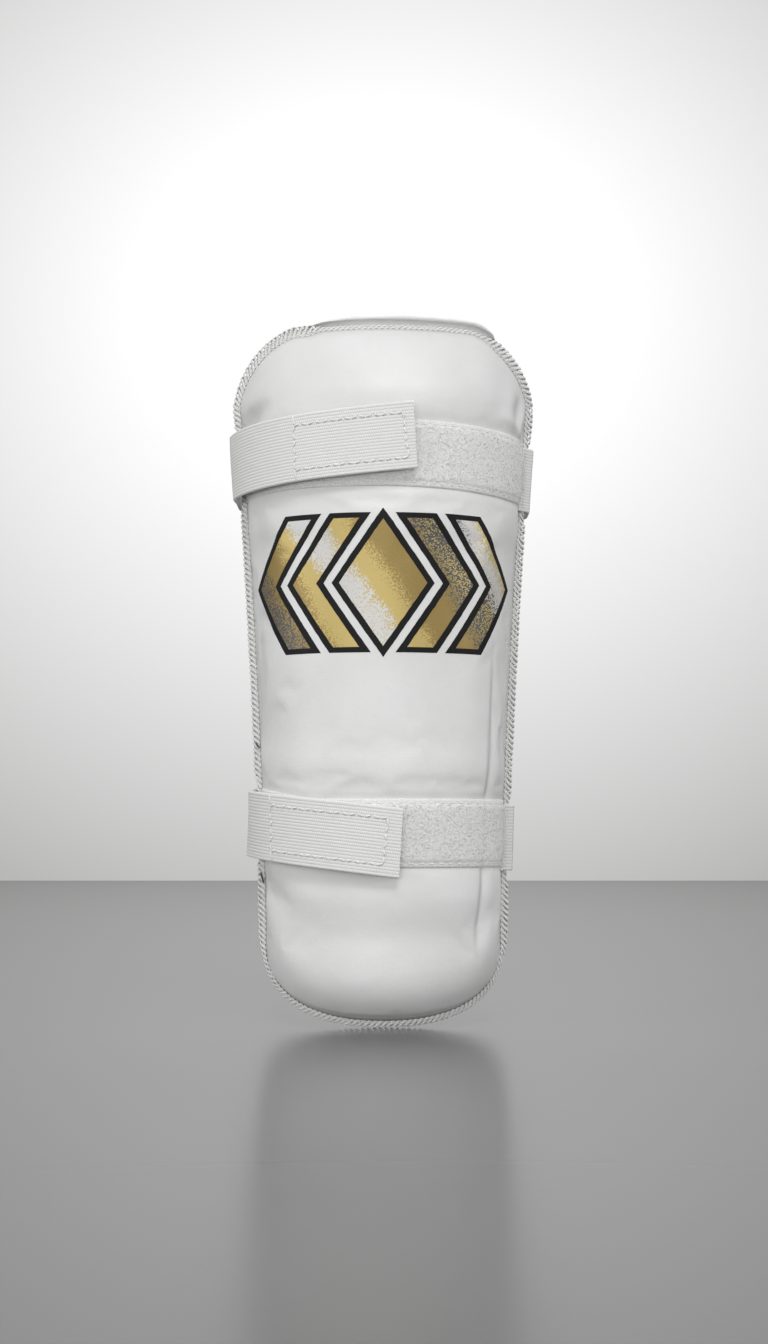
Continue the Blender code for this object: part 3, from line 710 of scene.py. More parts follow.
COVER, LINING, HEM = cover_finish(), lining_finish(), hem_finish()
LOOP, ELASTIC = loop_finish(), elastic_finish()
THREAD = thread_finish("plied_thread", (0.93, 0.93, 0.92), (0.82, 0.815, 0.80))
EDGE_THREAD = thread_finish("edge_thread", (0.88, 0.88, 0.865), (0.73, 0.725, 0.705), 1.0)
# The edge's core cord is darker than its loops: painted shade for the gaps between the strands.
CORE_SHADE_THREAD = thread_finish("edge_core_shade", (0.76, 0.76, 0.74), (0.58, 0.58, 0.56), 1.0)
TAIL = thread_finish("loose_thread", (0.10, 0.10, 0.11), (0.04, 0.04, 0.045))
FILM, FOIL, HOOK = film_finish(), foil_finish(), hook_finish()


# ---------------------------------------------------------------- camera, light and floor

SENSOR = 24.0
EYE = (0.3 * MM, -695.0 * MM, 72.0 * MM)      # over the foot of the guard
FOCAL = 1877.0 / 1344.0                       # in heights of the picture
PITCH = math.radians(4.81)
STAGE_WIDE, STAGE_HIGH, WALL_BACK, FLOOR_BACK = 6.0, 5.0, 2.0, 2.1
LIGHTS = (    # name, place, target, size, power
    ("key", (0.10, -1.00, 1.15), (0.0, 0.0, 0.0), (0.65, 0.45), 7.9),
    ("low_fill", (-0.15, -1.25, 0.0), (0.0, 0.0, -0.05), (1.0, 0.22), 3.4),
    ("left_fill", (-1.30, -0.70, 0.05), (0.0, 0.0, -0.05), (0.8, 1.0), 7.0),
    ("right_fill", (1.30, -0.70, 0.05), (0.0, 0.0, -0.05), (0.8, 1.0), 4.8),
    ("back_light", (0.0, 1.00, 1.45), (0.0, 0.0, 0.0), (0.9, 0.5), 4.5),
)


def build_camera():
    data = bpy.data.cameras.new("camera")
    data.sensor_fit, data.sensor_height = "VERTICAL", SENSOR
    data.lens, data.clip_start = SENSOR * FOCAL, 0.01
    camera = link("camera", data)
    camera.location = (EYE[0], EYE[1], CAD_BOX[0].z + EYE[2])
    camera.rotation_euler = (math.pi / 2 + PITCH, 0.0, 0.0)
    bpy.context.scene.camera = camera


def area_light(name, location, target, size, power):
    data = bpy.data.lights.new(name, "AREA")
    data.shape, data.size, data.size_y = "RECTANGLE", *size
    data.energy = power
    light = link(name, data)
    light.location = location
    way = Vector(target) - Vector(location)
    light.rotation_euler = way.to_track_quat("-Z", "Y").to_euler()


def stage_plane(name, first, last, material):
    """Plane right across the stage, from one (y, z) to another."""
    mesh = bpy.data.meshes.new(name)
    corners = [(-STAGE_WIDE, *first), (STAGE_WIDE, *first), (STAGE_WIDE, *last),
               (-STAGE_WIDE, *last)]
    mesh.from_pydata(corners, [], [(0, 1, 2, 3)])
    mesh.materials.append(material)
    link(name, mesh)


def floor_finish():
    sh = Shader("pale_floor")
    tone = sh.mix(sh.noise(sh.solid(), 300.0, 2.0), (0.135, 0.135, 0.135), (0.155, 0.155, 0.155))
    return sh.finish(tone, 0.22, Specular_IOR_Level=0.25)


def wall_finish():
    sh = Shader("wall_painted_glow")
    x, _, z = sh.split(sh.solid())[:3]
    # The backdrop glows with a painted pool of light, brightest behind the guard and dimmer
    # outwards.
    dx = sh.math("DIVIDE", x, 950.0)
    dz = sh.math("DIVIDE", sh.math("SUBTRACT", z, 700.0), 800.0)
    glow = sh.math("SQRT", sh.total(sh.product(dx, dx), sh.product(dz, dz)))
    tone = sh.mix(sh.span(glow, 0.40, 1.25), (1.0, 1.0, 1.0), (0.43, 0.43, 0.425))
    return sh.finish((0.0, 0.0, 0.0, 1.0), 1.0, Specular_IOR_Level=0.0, Emission_Color=tone,
                     Emission_Strength=1.0)


def build_stage():
    floor = CAD_BOX[0].z - 0.05 * MM
    stage_plane("floor", (-STAGE_WIDE, floor), (FLOOR_BACK, floor), floor_finish())
    stage_plane("backdrop", (WALL_BACK, floor), (WALL_BACK, STAGE_HIGH), wall_finish())
    world = bpy.data.worlds.new("studio")
    world.use_nodes = True
    sky = world.node_tree.nodes["Background"]
    sky.inputs[0].default_value = (0.93, 0.94, 0.95, 1.0)
    sky.inputs[1].default_value = 0.52
    bpy.context.scene.world = world
    for light in LIGHTS:
        area_light(*light)
    bpy.context.scene.view_settings.view_transform = "Standard"


# ---------------------------------------------------------------- cover

EDGE_HEIGHT = 1.45 * MM        # cover under the thread
TUCK_REACH = 2.7 * MM          # run over which it swells to its full height
COVER_CELLS, FOAM_CELLS, LINING_CELLS = (132, 200), (60, 110), (72, 130)
COVER_SHELL = 0.6 * MM
FACE_DROP = 1.8 * MM           # from the CAD cover's face down to its padding
COVER_GROWTH, LINING_GROWTH = 0.004, 0.02
COVER_RISE, COVER_SINK = 1.3 * MM, 0.15 * MM
LINING_RISE, LINING_SINK = 0.9 * MM, 0.3 * MM
CLOTH_FRAMES = 20
CLOTH = {"quality": 5, "mass": 0.002, "tension_stiffness": 15.0, "compression_stiffness": 15.0,
         "shear_stiffness": 5.0, "bending_stiffness": 3.0, "use_pressure": True,
         "uniform_pressure_force": 4.0, "vertex_group_mass": "sewn"}
SIDE_TUCK = 4.5 * MM           # longer run of the tuck along the sides

# Soft dents and folds: s, z, direction in degrees, half length, half width, depth
FOLDS = (
    (-50.0, 94.5, 25.0, 8.5, 4.2, 3.8),      # pocket above the upper strap, left
    (-38.0, 101.0, 40.0, 16.0, 7.0, 0.55),
    (51.5, 98.0, 75.0, 8.0, 4.0, 3.1),       # pockets beside the upper tape, right
    (55.0, 89.0, 60.0, 5.0, 2.6, 2.2),
    (50.5, 92.0, -25.0, 9.0, 2.6, -1.6),     # ridge between them
    (42.0, 104.0, 70.0, 20.0, 5.0, 0.7),
    (-44.0, 52.0, 80.0, 16.0, 3.0, 0.45),
    (-45.5, 6.0, 85.0, 42.0, 2.2, 0.45),     # left edge of the inner plate
    (-39.0, -82.0, -35.0, 13.0, 4.5, 1.5),   # left end of the step below the lower strap
    (0.0, -99.0, 0.0, 34.0, 6.0, 0.55),
    (33.0, -92.0, 30.0, 14.0, 5.0, 0.5),
    (-34.0, -100.0, -55.0, 14.0, 5.0, -0.9),
    (36.0, -100.0, 60.0, 15.0, 4.5, -0.7),
    (12.0, 112.0, 10.0, 40.0, 7.0, 0.35),
)
CREASE_TOP, CREASE_BOTTOM = (36.8 * MM, 14.0 * MM), (30.3 * MM, -110.0 * MM)


def fold(s, z, dent):
    """Depth of one dent: a smooth bump drawn out along its direction."""
    s0, z0, turn, length, width, depth = dent
    ds, dz = s / MM - s0, z / MM - z0
    c, k = math.cos(math.radians(turn)), math.sin(math.radians(turn))
    along, across = (ds * c + dz * k) / length, (dz * c - ds * k) / width
    return depth * MM * np.exp(-(along ** 2 + across ** 2))


def crease_way(s, z):
    """Distance past the crease over the inner plate's right edge, and how open it is there."""
    share = (CREASE_TOP[1] - z) / (CREASE_TOP[1] - CREASE_BOTTOM[1])
    line = CREASE_TOP[0] + (CREASE_BOTTOM[0] - CREASE_TOP[0]) * share
    line += 0.25 * MM * np.sin(share * 9.0) - 1.7 * MM * ease((share - 0.60) / 0.36)
    off = np.abs(tape_share(s, z, STRAPS[1]) - 0.5) * WEBBING
    taped = 1.0 - ease((off - 12.0 * MM) / (3.0 * MM))
    return s - line, ease(share * 4.0) * ease((1.0 - share) * 6.0) * (1.0 - 0.75 * taped)


def crease_depth(s, z):
    """The cover drops steeply past the plate's edge, then rises slowly to a soft lip."""
    past, fade = crease_way(s, z)
    drop = ease(past / (0.9 * MM) + 0.5) * np.exp(-np.maximum(past, 0.0) / (2.6 * MM))
    lip = near(past - 5.0 * MM, 2.4 * MM)
    return fade * MM * (1.45 * drop - 0.35 * lip)


def tape_middle(strap, share):
    """Height of the tape's middle at a share of its run from the left."""
    lift = strap.tape_lift * (1.0 - ease(share / 0.35))
    return strap.tape_z + lift - strap.tape_drop * ease((share - 0.5) / 0.5)


def tape_share(s, z, strap):
    """Height across a strap's tape, 0 at its lower edge and 1 at its upper one."""
    half = half_arc(z)
    share = (s + half - TAPE_END_LEFT) / (2 * half - TAPE_END_LEFT - TAPE_END_RIGHT)
    return (z - tape_middle(strap, share)) / WEBBING + 0.5


def past_tape(s, z, strap):
    """Distance out of a strap's tape, below 0 on it."""
    return np.abs(tape_share(s, z, strap) - 0.5) * WEBBING - WEBBING / 2


def sewn_share(s, z, distance):
    """1 where the cover is sewn down, under the tapes and at the edge, and 0 where it is free."""
    sewn = 1.0 - ease((distance - band_width(s, z)) / (2.0 * MM))
    for strap in STRAPS:
        sewn = np.maximum(sewn, 1.0 - ease(past_tape(s, z, strap) / (1.5 * MM)))
    return sewn


def skin_height(s, z, distance):
    """Height of the cover's outer face before the padding puffs it out."""
    u = np.clip(s / half_arc(z), -1.0, 1.0)
    side = ease((top_line(u) - z) / (28.0 * MM)) * ease((z - bottom_line(u)) / (24.0 * MM))
    tuck = ease((distance - band_width(s, z)) / (TUCK_REACH + SIDE_TUCK * side))
    height = EDGE_HEIGHT + (front_height(s, z) - EDGE_HEIGHT) * tuck
    free = ease((distance - 3.0 * MM) / (6.0 * MM))
    for strap in STRAPS:
        off = past_tape(s, z, strap)
        height = height - 0.45 * MM * near(off, 2.2 * MM) * free
        height = height + 0.7 * MM * near(off - 11.0 * MM, 7.0 * MM) * free
    for dent in FOLDS:
        height = height - fold(s, z, dent) * ease((distance - 2.5 * MM) / (5.0 * MM))
    packed = comfort_top(s, z) + COVER_SHELL + 0.4 * MM
    packed = EDGE_HEIGHT + (packed - EDGE_HEIGHT) * ease((distance - 2.8 * MM) / (2.0 * MM))
    return np.maximum(height - crease_depth(s, z) * free, packed)


def pucker(s, z, distance):
    """Small gathers where the cover meets the edge thread."""
    ripple = clouds(on_chart(s, z), 5.5 * MM, 3.0)
    return 0.32 * MM * ripple * near(distance - 4.2 * MM, 2.4 * MM)


def inflate(piece, sewn, growth):
    """Puff a sheet up with Cloth, held where sewn is 1, and return its new points."""
    group = piece.vertex_groups.new(name="sewn")
    for i, weight in enumerate(sewn):
        group.add([i], float(weight), "REPLACE")
    cloth = piece.modifiers.new("Cloth", "CLOTH")
    settings = cloth.settings
    for key, value in CLOTH.items():
        setattr(settings, key, value)
    settings.shrink_min = -growth
    settings.effector_weights.gravity = 0.0
    cloth.collision_settings.use_collision = False
    scene = bpy.context.scene
    for number in range(1, CLOTH_FRAMES + 1):
        scene.frame_set(number)
    puffed_up = piece.evaluated_get(bpy.context.evaluated_depsgraph_get())
    mesh = puffed_up.to_mesh()
    points = np.empty(len(mesh.vertices) * 3, np.float32)
    mesh.vertices.foreach_get("co", points)
    puffed_up.to_mesh_clear()
    piece.modifiers.remove(cloth)
    scene.frame_set(1)
    return points.reshape(-1, 3).astype(float)


def puffed(s, z, height, sewn, side, lift, sink, growth):
    """Points of a sheet at height after a cloth run, moved at most lift out and sink in.

    side is 1 for a sheet that puffs out of the padded face and -1 for the arm side.
    """
    start = place(s, z, height)
    quads = grid_quads(*s.shape)
    if side < 0:
        quads = quads[:, ::-1]
    uv = np.zeros((s.size, 2))
    sheet = new_object("sheet", start.reshape(-1, 3), quads, uv, COVER, closed=False)
    moved = inflate(sheet, sewn.ravel(), growth).reshape(start.shape) - start
    bpy.data.objects.remove(sheet, do_unlink=True)
    out = outward(s, z)
    rise = (moved * out).sum(-1) * side
    slide = moved - (moved * out).sum(-1, keepdims=True) * out
    rise = np.where(rise > 0, lift * np.tanh(rise / lift), sink * np.tanh(rise / sink))
    length = np.linalg.norm(slide, axis=-1, keepdims=True)
    slide *= np.tanh(length / MM) / np.maximum(length / MM, 1e-9)
    return start + out * (rise * side)[..., None] + slide


def subdivide(piece):
    """Apply one smooth subdivision to a piece."""
    modifier = piece.modifiers.new("Smooth", "SUBSURF")
    modifier.levels = modifier.render_levels = 1
    graph = bpy.context.evaluated_depsgraph_get()
    mesh = bpy.data.meshes.new_from_object(piece.evaluated_get(graph))
    piece.modifiers.clear()
    piece.data = mesh


def point_attribute(piece, name, values):
    layer = piece.data.attributes.new(name, "FLOAT", "POINT")
    layer.data.foreach_set("value", np.asarray(values, np.float32).ravel())


def chart_of(piece):
    """(s, z) at each vertex of a piece, from its texture coordinates."""
    mesh = piece.data
    uv = np.empty(len(mesh.loops) * 2, np.float32)
    mesh.uv_layers["UVMap"].data.foreach_get("uv", uv)
    owner = np.empty(len(mesh.loops), np.int32)
    mesh.loops.foreach_get("vertex_index", owner)
    chart = np.zeros((len(mesh.vertices), 2))
    chart[owner] = uv.reshape(-1, 2) * MM
    return chart[:, 0], chart[:, 1]


def build_cover():
    s, z = pad_grid(0.0, *COVER_CELLS)
    distance = edge_distance(s, z)
    height = skin_height(s, z, distance) + pucker(s, z, distance)
    upper = puffed(s, z, height, sewn_share(s, z, distance), 1,
                   COVER_RISE, COVER_SINK, COVER_GROWTH)
    lower = upper - outward(s, z) * COVER_SHELL
    cover = slab("cover", lower, upper, s, z, COVER)
    subdivide(cover)
    chart = chart_of(cover)
    past, fade = crease_way(*chart)
    point_attribute(cover, "seam", (edge_distance(*chart) + BAND_WIDTH - band_width(*chart)) / MM)
    # Mask for the painted shade in the crease.
    point_attribute(cover, "crease", fade * near(past - 0.3 * MM, 0.8 * MM))
    stand_in(cover, "front_cover")
    return cover


class Skin:
    """The finished cover, for laying other pieces on it."""

    def __init__(self, cover):
        self.tree = BVHTree.FromObject(cover, bpy.context.evaluated_depsgraph_get())

    def height(self, s, z):
        """Height of the cover's outer face at each (s, z)."""
        above = 40.0 * MM
        starts = place(s, z, above).reshape(-1, 3)
        ways = -outward(*np.broadcast_arrays(s, z)).reshape(-1, 3)
        found = []
        for start, way in zip(starts, ways):
            reach = self.tree.ray_cast(Vector(start), Vector(way))[3]
            found.append(EDGE_HEIGHT if reach is None or reach > above else above - reach)
        return np.reshape(found, np.broadcast(s, z).shape)


# ---------------------------------------------------------------- foam inside

def build_foam(skin):
    """Dense foam that fills the cover, as far in as the finished cover leaves room."""
    s, z = pad_grid(FOAM_INSET, *FOAM_CELLS)
    room = np.minimum(front_height(s, z) - FACE_DROP, skin.height(s, z) - COVER_SHELL - 0.6 * MM)
    plate = np.clip(stuffing(s, z) - POCKET_START, 0.0, PLATE_THICKNESS + GAP)
    upper = room + 0.06 * MM * clouds(on_chart(s, z), 3 * MM, 7.0)
    lower = np.minimum(comfort_top(s, z) + GAP + plate, upper - 0.3 * MM)
    foam = chart_slab("filling_foam", s, z, lower, upper,
                      foam_finish("core_foam", (0.24, 0.25, 0.27), (0.10, 0.10, 0.12), 1.2))
    stand_in(foam, "foam_core")


# ---------------------------------------------------------------- lining and rolled rim

def build_lining():
    s, z = pad_grid(0.0, *LINING_CELLS)
    distance = edge_distance(s, z)
    swell = ease((distance - BAND_WIDTH) / (9.0 * MM))
    height = -0.35 * MM * swell + 0.12 * MM * clouds(on_chart(s, z), 16 * MM, 9.0) * swell
    sewn = 1.0 - ease((distance - BAND_WIDTH) / (2.0 * MM))
    for strap in STRAPS:
        patch = (np.abs(z - strap.anchor_z) < WEBBING / 2) & (half_arc(z) - s < ANCHOR_BACK)
        sewn = np.maximum(sewn, patch)
        height = np.where(patch, np.maximum(height, -0.1 * MM), height)
    lower = puffed(s, z, height, sewn, -1, LINING_RISE, LINING_SINK, LINING_GROWTH)
    upper = lower + outward(s, z) * 0.6 * MM
    lining = slab("lining", upper, lower, s, z, LINING)
    subdivide(lining)
    stand_in(lining, "rear_lining")


# Section of the rolled hem: share of its rise, height above the arm side in millimetres
RIM_SECTION = ((-0.45, 0.1), (-0.42, 0.5), (-0.12, 0.7), (0.15, 0.85), (0.40, 1.05), (0.46, 1.35),
               (0.50, 1.95), (0.62, 2.34), (0.84, 2.42), (0.96, 2.2), (1.0, 1.6), (0.97, 0.8),
               (0.78, 0.25), (0.40, 0.0))


RIM_POINTS, RIM_LEAST = 151, 1.15 * MM
RIM_LUMP = 1.9                 # height above which the roll is lumpy


def build_rim():
    share_along = np.linspace(-1.0, 1.0, RIM_POINTS)
    u = RIM_CENTRE + RIM_SPAN * share_along
    sharp = np.where(share_along > 0, 8.0, 4.0)
    rise = np.maximum(RIM_RISE * (1.0 - np.abs(share_along) ** sharp), RIM_LEAST)
    wobble = 1.0 + 0.10 * clouds(on_chart(u * 50 * MM, 0 * u), 9 * MM, 5.0)
    sections = []
    for share, height in RIM_SECTION:
        out = THREAD_OUT + (rise - THREAD_OUT) * share * np.where(share > 0.5, wobble, 1.0)
        z = top_line(u) + out
        half = half_arc(z) + out
        fade = 0.55 + 0.45 * ease((1.0 - np.abs(share_along)) / 0.12)
        lumpy = np.where(height > RIM_LUMP, wobble, 1.0)
        sections.append(place(u * half, z, height * MM * fade * lumpy))
    grid = np.stack(sections + sections[:1])
    run = (u * half_arc(PAD_TOP))[None, :]
    uv = np.stack(np.broadcast_arrays(run, running_length(grid)), -1).reshape(-1, 2) / MM
    rim = new_object("rolled_rim", grid.reshape(-1, 3), grid_quads(*grid.shape[:2]), uv, HEM,
                     closed=False)
    close_ends(rim)
    subdivide(rim)
    stand_in(rim, "top_rim_roll")


def close_ends(piece):
    """Merge doubled points and fill the holes at the ends of a swept piece."""
    bm = bmesh.new()
    bm.from_mesh(piece.data)
    bmesh.ops.remove_doubles(bm, verts=bm.verts, dist=0.001 * MM)
    bmesh.ops.holes_fill(bm, edges=[e for e in bm.edges if e.is_boundary], sides=0)
    bmesh.ops.recalc_face_normals(bm, faces=bm.faces)
    bm.to_mesh(piece.data)
    bm.free()


# ---------------------------------------------------------------- overlocked edge

LOOP_PITCH = 2.1 * MM
LOOP_STEPS = 18
LOOP_SKEW = 0.52               # how far the strand leans over the front, in pitches
STRAND_WIDE, STRAND_THICK = 0.66 * MM, 0.26 * MM


class EdgeLine:
    """The pad's outline, by the run along it."""

    def __init__(self):
        points = outline(400)
        self.points = np.concatenate((points, points[:1]))
        self.runs = running_length(self.points)
        self.total = self.runs[-1]

    def at(self, run):
        """(s, z) at a run."""
        around = run % self.total
        return np.stack([np.interp(around, self.runs, self.points[:, k]) for k in (0, 1)], -1)

    def out(self, run):
        """Direction away from the pad at a run."""
        along = unit(self.at(run + 0.6 * MM) - self.at(run - 0.6 * MM))
        return np.stack((along[:, 1], -along[:, 0]), -1)

    def place(self, run, d, h):
        """Points at a distance out of the outline and a height."""
        at, out = self.at(run), self.out(run)
        return place(at[:, 0] + out[:, 0] * d, at[:, 1] + out[:, 1] * d, h)


def rounded(angle, power):
    """Cosine and sine of an angle on a boxier loop."""
    c, k = np.cos(angle), np.sin(angle)
    return np.sign(c) * np.abs(c) ** power, np.sign(k) * np.abs(k) ** power


def squeezed(s, z):
    """1 where a strap crosses the edge and presses on the thread, and 0 away from it."""
    share = np.zeros_like(s)
    for strap in STRAPS:
        middle = np.where(s < 0, strap.edge_z, strap.anchor_z)
        share = np.maximum(share, 1.0 - ease((np.abs(z - middle) - 13.5 * MM) / (4.0 * MM)))
    return share


def build_overlock():
    line = EdgeLine()
    loops = round(line.total / LOOP_PITCH)
    pitch = line.total / loops
    turns = np.arange(loops * LOOP_STEPS) / LOOP_STEPS
    angle = 2 * np.pi * turns
    s, z = line.at(turns * pitch).T
    spot = on_chart(s, z)
    loose, slow = clouds(spot, 1.7 * MM, 11.0), clouds(spot, 14 * MM, 12.0)
    run = pitch * (turns - LOOP_SKEW * np.cos(angle) + 0.18 * loose)
    c, k = rounded(angle + 0.35 * loose, 0.75)
    free, rimmed, low = 1.0 - squeezed(s, z), under_rim(s, z), low_edge(z)
    reach = (1.50 + 0.40 * free - 1.30 * rimmed - 0.80 * low) * MM
    reach = reach * (1.0 + 0.06 * slow + 0.09 * loose)
    d = (-0.76 + 0.26 * free + 0.05 * rimmed + 0.30 * low) * MM + reach * c
    flare = 0.45 * free * (1.0 - rimmed) * (1.0 - low) * np.maximum(d + 0.3 * MM, 0.0)
    h = (0.80 + (0.92 + 0.10 * loose) * k) * MM + flare
    path = line.place(run, d, h)
    out = line.out(run)
    ups = np.stack([c * out[:, 0], 0 * c, c * out[:, 1]], -1) + outward(s, z) * k[:, None]
    wide = STRAND_WIDE * (1.0 + 0.10 * slow + 0.16 * loose - 0.40 * rimmed - 0.30 * low)
    pieces = [tubes("strand", path[None], ups[None], wide, STRAND_THICK, EDGE_THREAD)]
    rail_run = np.arange(loops * 6) / 6 * pitch
    rail_up = outward(*line.at(rail_run).T)[None]
    for side, height in ((1, 1.70 * MM), (-1, -0.05 * MM)):
        sway = np.sin(2 * np.pi * rail_run / pitch)
        rail_in = band_width(*line.at(rail_run).T) + 0.15 * MM
        points = line.place(rail_run, 0.25 * MM * sway - rail_in, height + 0.08 * MM * sway * side)
        pieces.append(tubes("looper", points[None], rail_up, 0.24 * MM, 0.18 * MM, EDGE_THREAD))
    # Core cord under the loops, in a darker thread as painted shade in the gaps between them.
    core_run = np.arange(round(line.total / MM)) * line.total / round(line.total / MM)
    s, z = line.at(core_run).T
    section, narrow = [], under_rim(s, z) + low_edge(z)
    for turn in 2 * np.pi * np.arange(12) / 12:
        c, k = rounded(turn, 0.6)
        d = -0.85 + 0.30 * narrow + (1.35 - 0.85 * narrow) * c
        section.append(line.place(core_run, d * MM, (0.80 + 0.78 * k) * MM))
    pieces.append(ring_tube("core", np.stack(section, 1), core_run, CORE_SHADE_THREAD))
    stand_in(join("edge_overlock_thread", *pieces), "edge_overlock")


def build_tails():
    """A few loose thread ends that stick out of the overlocked edge."""
    spots = ((-1, -29.0, 2.2, 0), (-1, -80.0, 4.4, 0), (-1, 41.0, 2.0, 1), (1, -74.0, 2.4, 1),
             (1, 60.0, 2.0, 1), (-1, 104.0, 2.2, 1), (1, 18.0, 1.8, 1))
    groups = {0: [], 1: []}
    for i, (side, height, length, light) in enumerate(spots):
        t = np.linspace(0.0, 1.0, 7)
        z = height * MM + t * length * MM * (1 if light else 0.9)
        s = side * (half_arc(z) - (3.0 - 0.9 * t) * MM + 0.3 * MM * np.sin(3.0 * t + i))
        groups[light].append(place(s, z, (1.9 + 0.9 * t) * MM + 0.4 * MM))
    for light, word, material, wide in ((0, "dark", TAIL, 0.34), (1, "pale", THREAD, 0.12)):
        paths = np.stack(groups[light])
        ups = np.broadcast_to([0.0, -1.0, 0.0], paths.shape)
        tails = tubes("thread_ends_" + word, paths, ups, wide * MM, wide * MM, material)
        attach(tails, "root")


# ---------------------------------------------------------------- strap runs

def edge_side(z):
    corner = place(half_arc(z) + THREAD_OUT, z, THREAD_TOP)
    return corner[..., 0] + GAP + STRAP_THICKNESS / 2


def left_side(strap, z):
    """The same at the left edge, where a slanting strap stands off towards its lower edge."""
    below = np.clip((strap.edge_z + WEBBING / 2 - z) / WEBBING, 0.0, 1.0)
    return edge_side(z) + strap.stand_off * below


def edge_depth(z):
    return place(half_arc(z) + THREAD_OUT, z, 0.0)[..., 1]


def flap_line(strap, z):
    """Centre line of the flap from its free end to the hinge line behind the left edge."""
    s = np.linspace(strap.free_s, -(half_arc(z) - EDGE_TURN), 50)
    front = place(s, z, front_height(s, z) + FLAP_LIFT)
    side, last = left_side(strap, z), front[-1]
    corner = np.array((-side, edge_depth(z) + 1.0 * MM, z))
    reach = np.linalg.norm(corner - last) * 0.45
    leave = last + (last - front[-2]) / np.linalg.norm(last - front[-2]) * reach
    arrive = corner - np.array((0.0, 1.0, 0.0)) * reach
    t = np.linspace(0.0, 1.0, 19)[1:, None]
    turn = (last * (1 - t) ** 3 + leave * 3 * t * (1 - t) ** 2
            + arrive * 3 * t * t * (1 - t) + corner * t ** 3)
    return np.concatenate((front, turn, [(-side, edge_depth(z) + strap.hinge_back, z)]))


def band_line(strap, z):
    """Centre line of the elastic behind the arm, from the left hinge to the right edge."""
    start = edge_depth(z) + strap.hinge_back
    angle = np.linspace(0.0, np.pi, 60)
    side = np.where(angle < np.pi / 2, left_side(strap, z), edge_side(z))
    arc = np.stack((-side * np.cos(angle), start + strap.back_depth * np.sin(angle),
                    np.full(60, z)), -1)
    return np.concatenate((arc, [(edge_side(z), edge_depth(z) + BAND_TUCK, z)]))


RUN_HEIGHTS, RUN_SAMPLES = 14, 240


class Run:
    """Centre surface of one stretch of a strap, sampled by height and share of its length."""

    def __init__(self, strap, line, low, high):
        self.heights = np.linspace(low, high, RUN_HEIGHTS)
        self.shares = np.linspace(0.0, 1.0, RUN_SAMPLES)
        self.lengths, table = [], []
        for z in self.heights:
            points = line(strap, z)
            run = running_length(points)
            self.lengths.append(run[-1])
            table.append([np.interp(self.shares, run / run[-1], points[:, k]) for k in range(3)])
        self.table = np.array(table).transpose(0, 2, 1)
        self.length = float(np.mean(self.lengths))

    def at(self, z, share):
        """Point at a height and a share of the run."""
        pitch = self.heights[1] - self.heights[0]
        row = np.clip((z - self.heights[0]) / pitch, 0, RUN_HEIGHTS - 1.001)
        column = np.clip(share, -0.1, 1.0) * (RUN_SAMPLES - 1.001)
        j, i = row.astype(int), np.maximum(column.astype(int), 0)
        a, b = (row - j)[..., None], (column - i)[..., None]
        table = self.table
        found = ((table[j, i] * (1 - b) + table[j, i + 1] * b) * (1 - a)
                 + (table[j + 1, i] * (1 - b) + table[j + 1, i + 1] * b) * a)
        found[..., 2] = z
        return found

    def length_at(self, z):
        return np.interp(z, self.heights, self.lengths)


class StrapSheet:
    """Whole strap by distance from its free end and height across it."""

    def __init__(self, strap):
        low = min(strap.edge_z, strap.free_z, strap.anchor_z) - 20 * MM
        high = max(strap.edge_z, strap.free_z, strap.anchor_z) + 20 * MM
        self.strap = strap
        self.flap, self.band = Run(strap, flap_line, low, high), Run(strap, band_line, low, high)
        self.flap_length = float(self.flap.length_at(strap.edge_z))
        self.length = self.flap_length + float(self.band.length_at(strap.edge_z))

    def flap_middle(self, share):
        """Height of the flap's middle at a share of its run from the free end."""
        left = np.clip(1.0 - share, 0.0, 1.0) ** self.strap.slant_power
        return self.strap.edge_z + (self.strap.free_z - self.strap.edge_z) * left

    def centre(self, distance, across):
        strap = self.strap
        distance, across = np.broadcast_arrays(distance, across)
        share = distance / self.flap_length
        z = self.flap_middle(share) + across
        slope = (self.flap_middle(share + 0.01) - self.flap_middle(share - 0.01)) / (
            0.02 * self.flap_length)
        lean = -across * slope * (1.0 - ease(share * 2.0))
        front = self.flap.at(z, share + lean / self.flap.length_at(z))
        share = (distance - self.flap_length) / (self.length - self.flap_length)
        z = strap.edge_z + (strap.anchor_z - strap.edge_z) * ease(share) + across
        back = self.band.at(z, share)
        return np.where((distance <= self.flap_length)[..., None], front, back)

    def surface(self, distance, across, out):
        """Points at distance and across, raised out of the middle of the webbing."""
        centre = self.centre(distance, across)
        step = 0.2 * MM
        along = self.centre(distance + step, across) - self.centre(distance - step, across)
        over = self.centre(distance, across + step) - self.centre(distance, across - step)
        normal = unit(np.cross(over, along))
        return centre + normal * np.broadcast_to(out, centre.shape[:-1])[..., None], normal


def rib_profile(across):
    """Height of the webbing's face over its middle: ribs between two rounded selvedges."""
    edge = WEBBING / 2 - np.abs(across)
    rib = np.abs(np.cos(np.pi * across / RIB_PITCH)) ** 0.55
    across_bead = (edge - SELVEDGE_WIDTH / 2) / (SELVEDGE_WIDTH / 2)
    bead = np.sqrt(np.clip(1.0 - across_bead ** 2, 0.0, 1.0))
    body = STRAP_THICKNESS / 2 - RIB_DEPTH + RIB_DEPTH * np.where(edge > SELVEDGE_WIDTH, rib, bead)
    round_off = np.clip(edge / (0.5 * MM), 0.0, 1.0)
    return body * np.sqrt(np.clip(1.0 - (1.0 - round_off) ** 2, 0.02, 1.0))


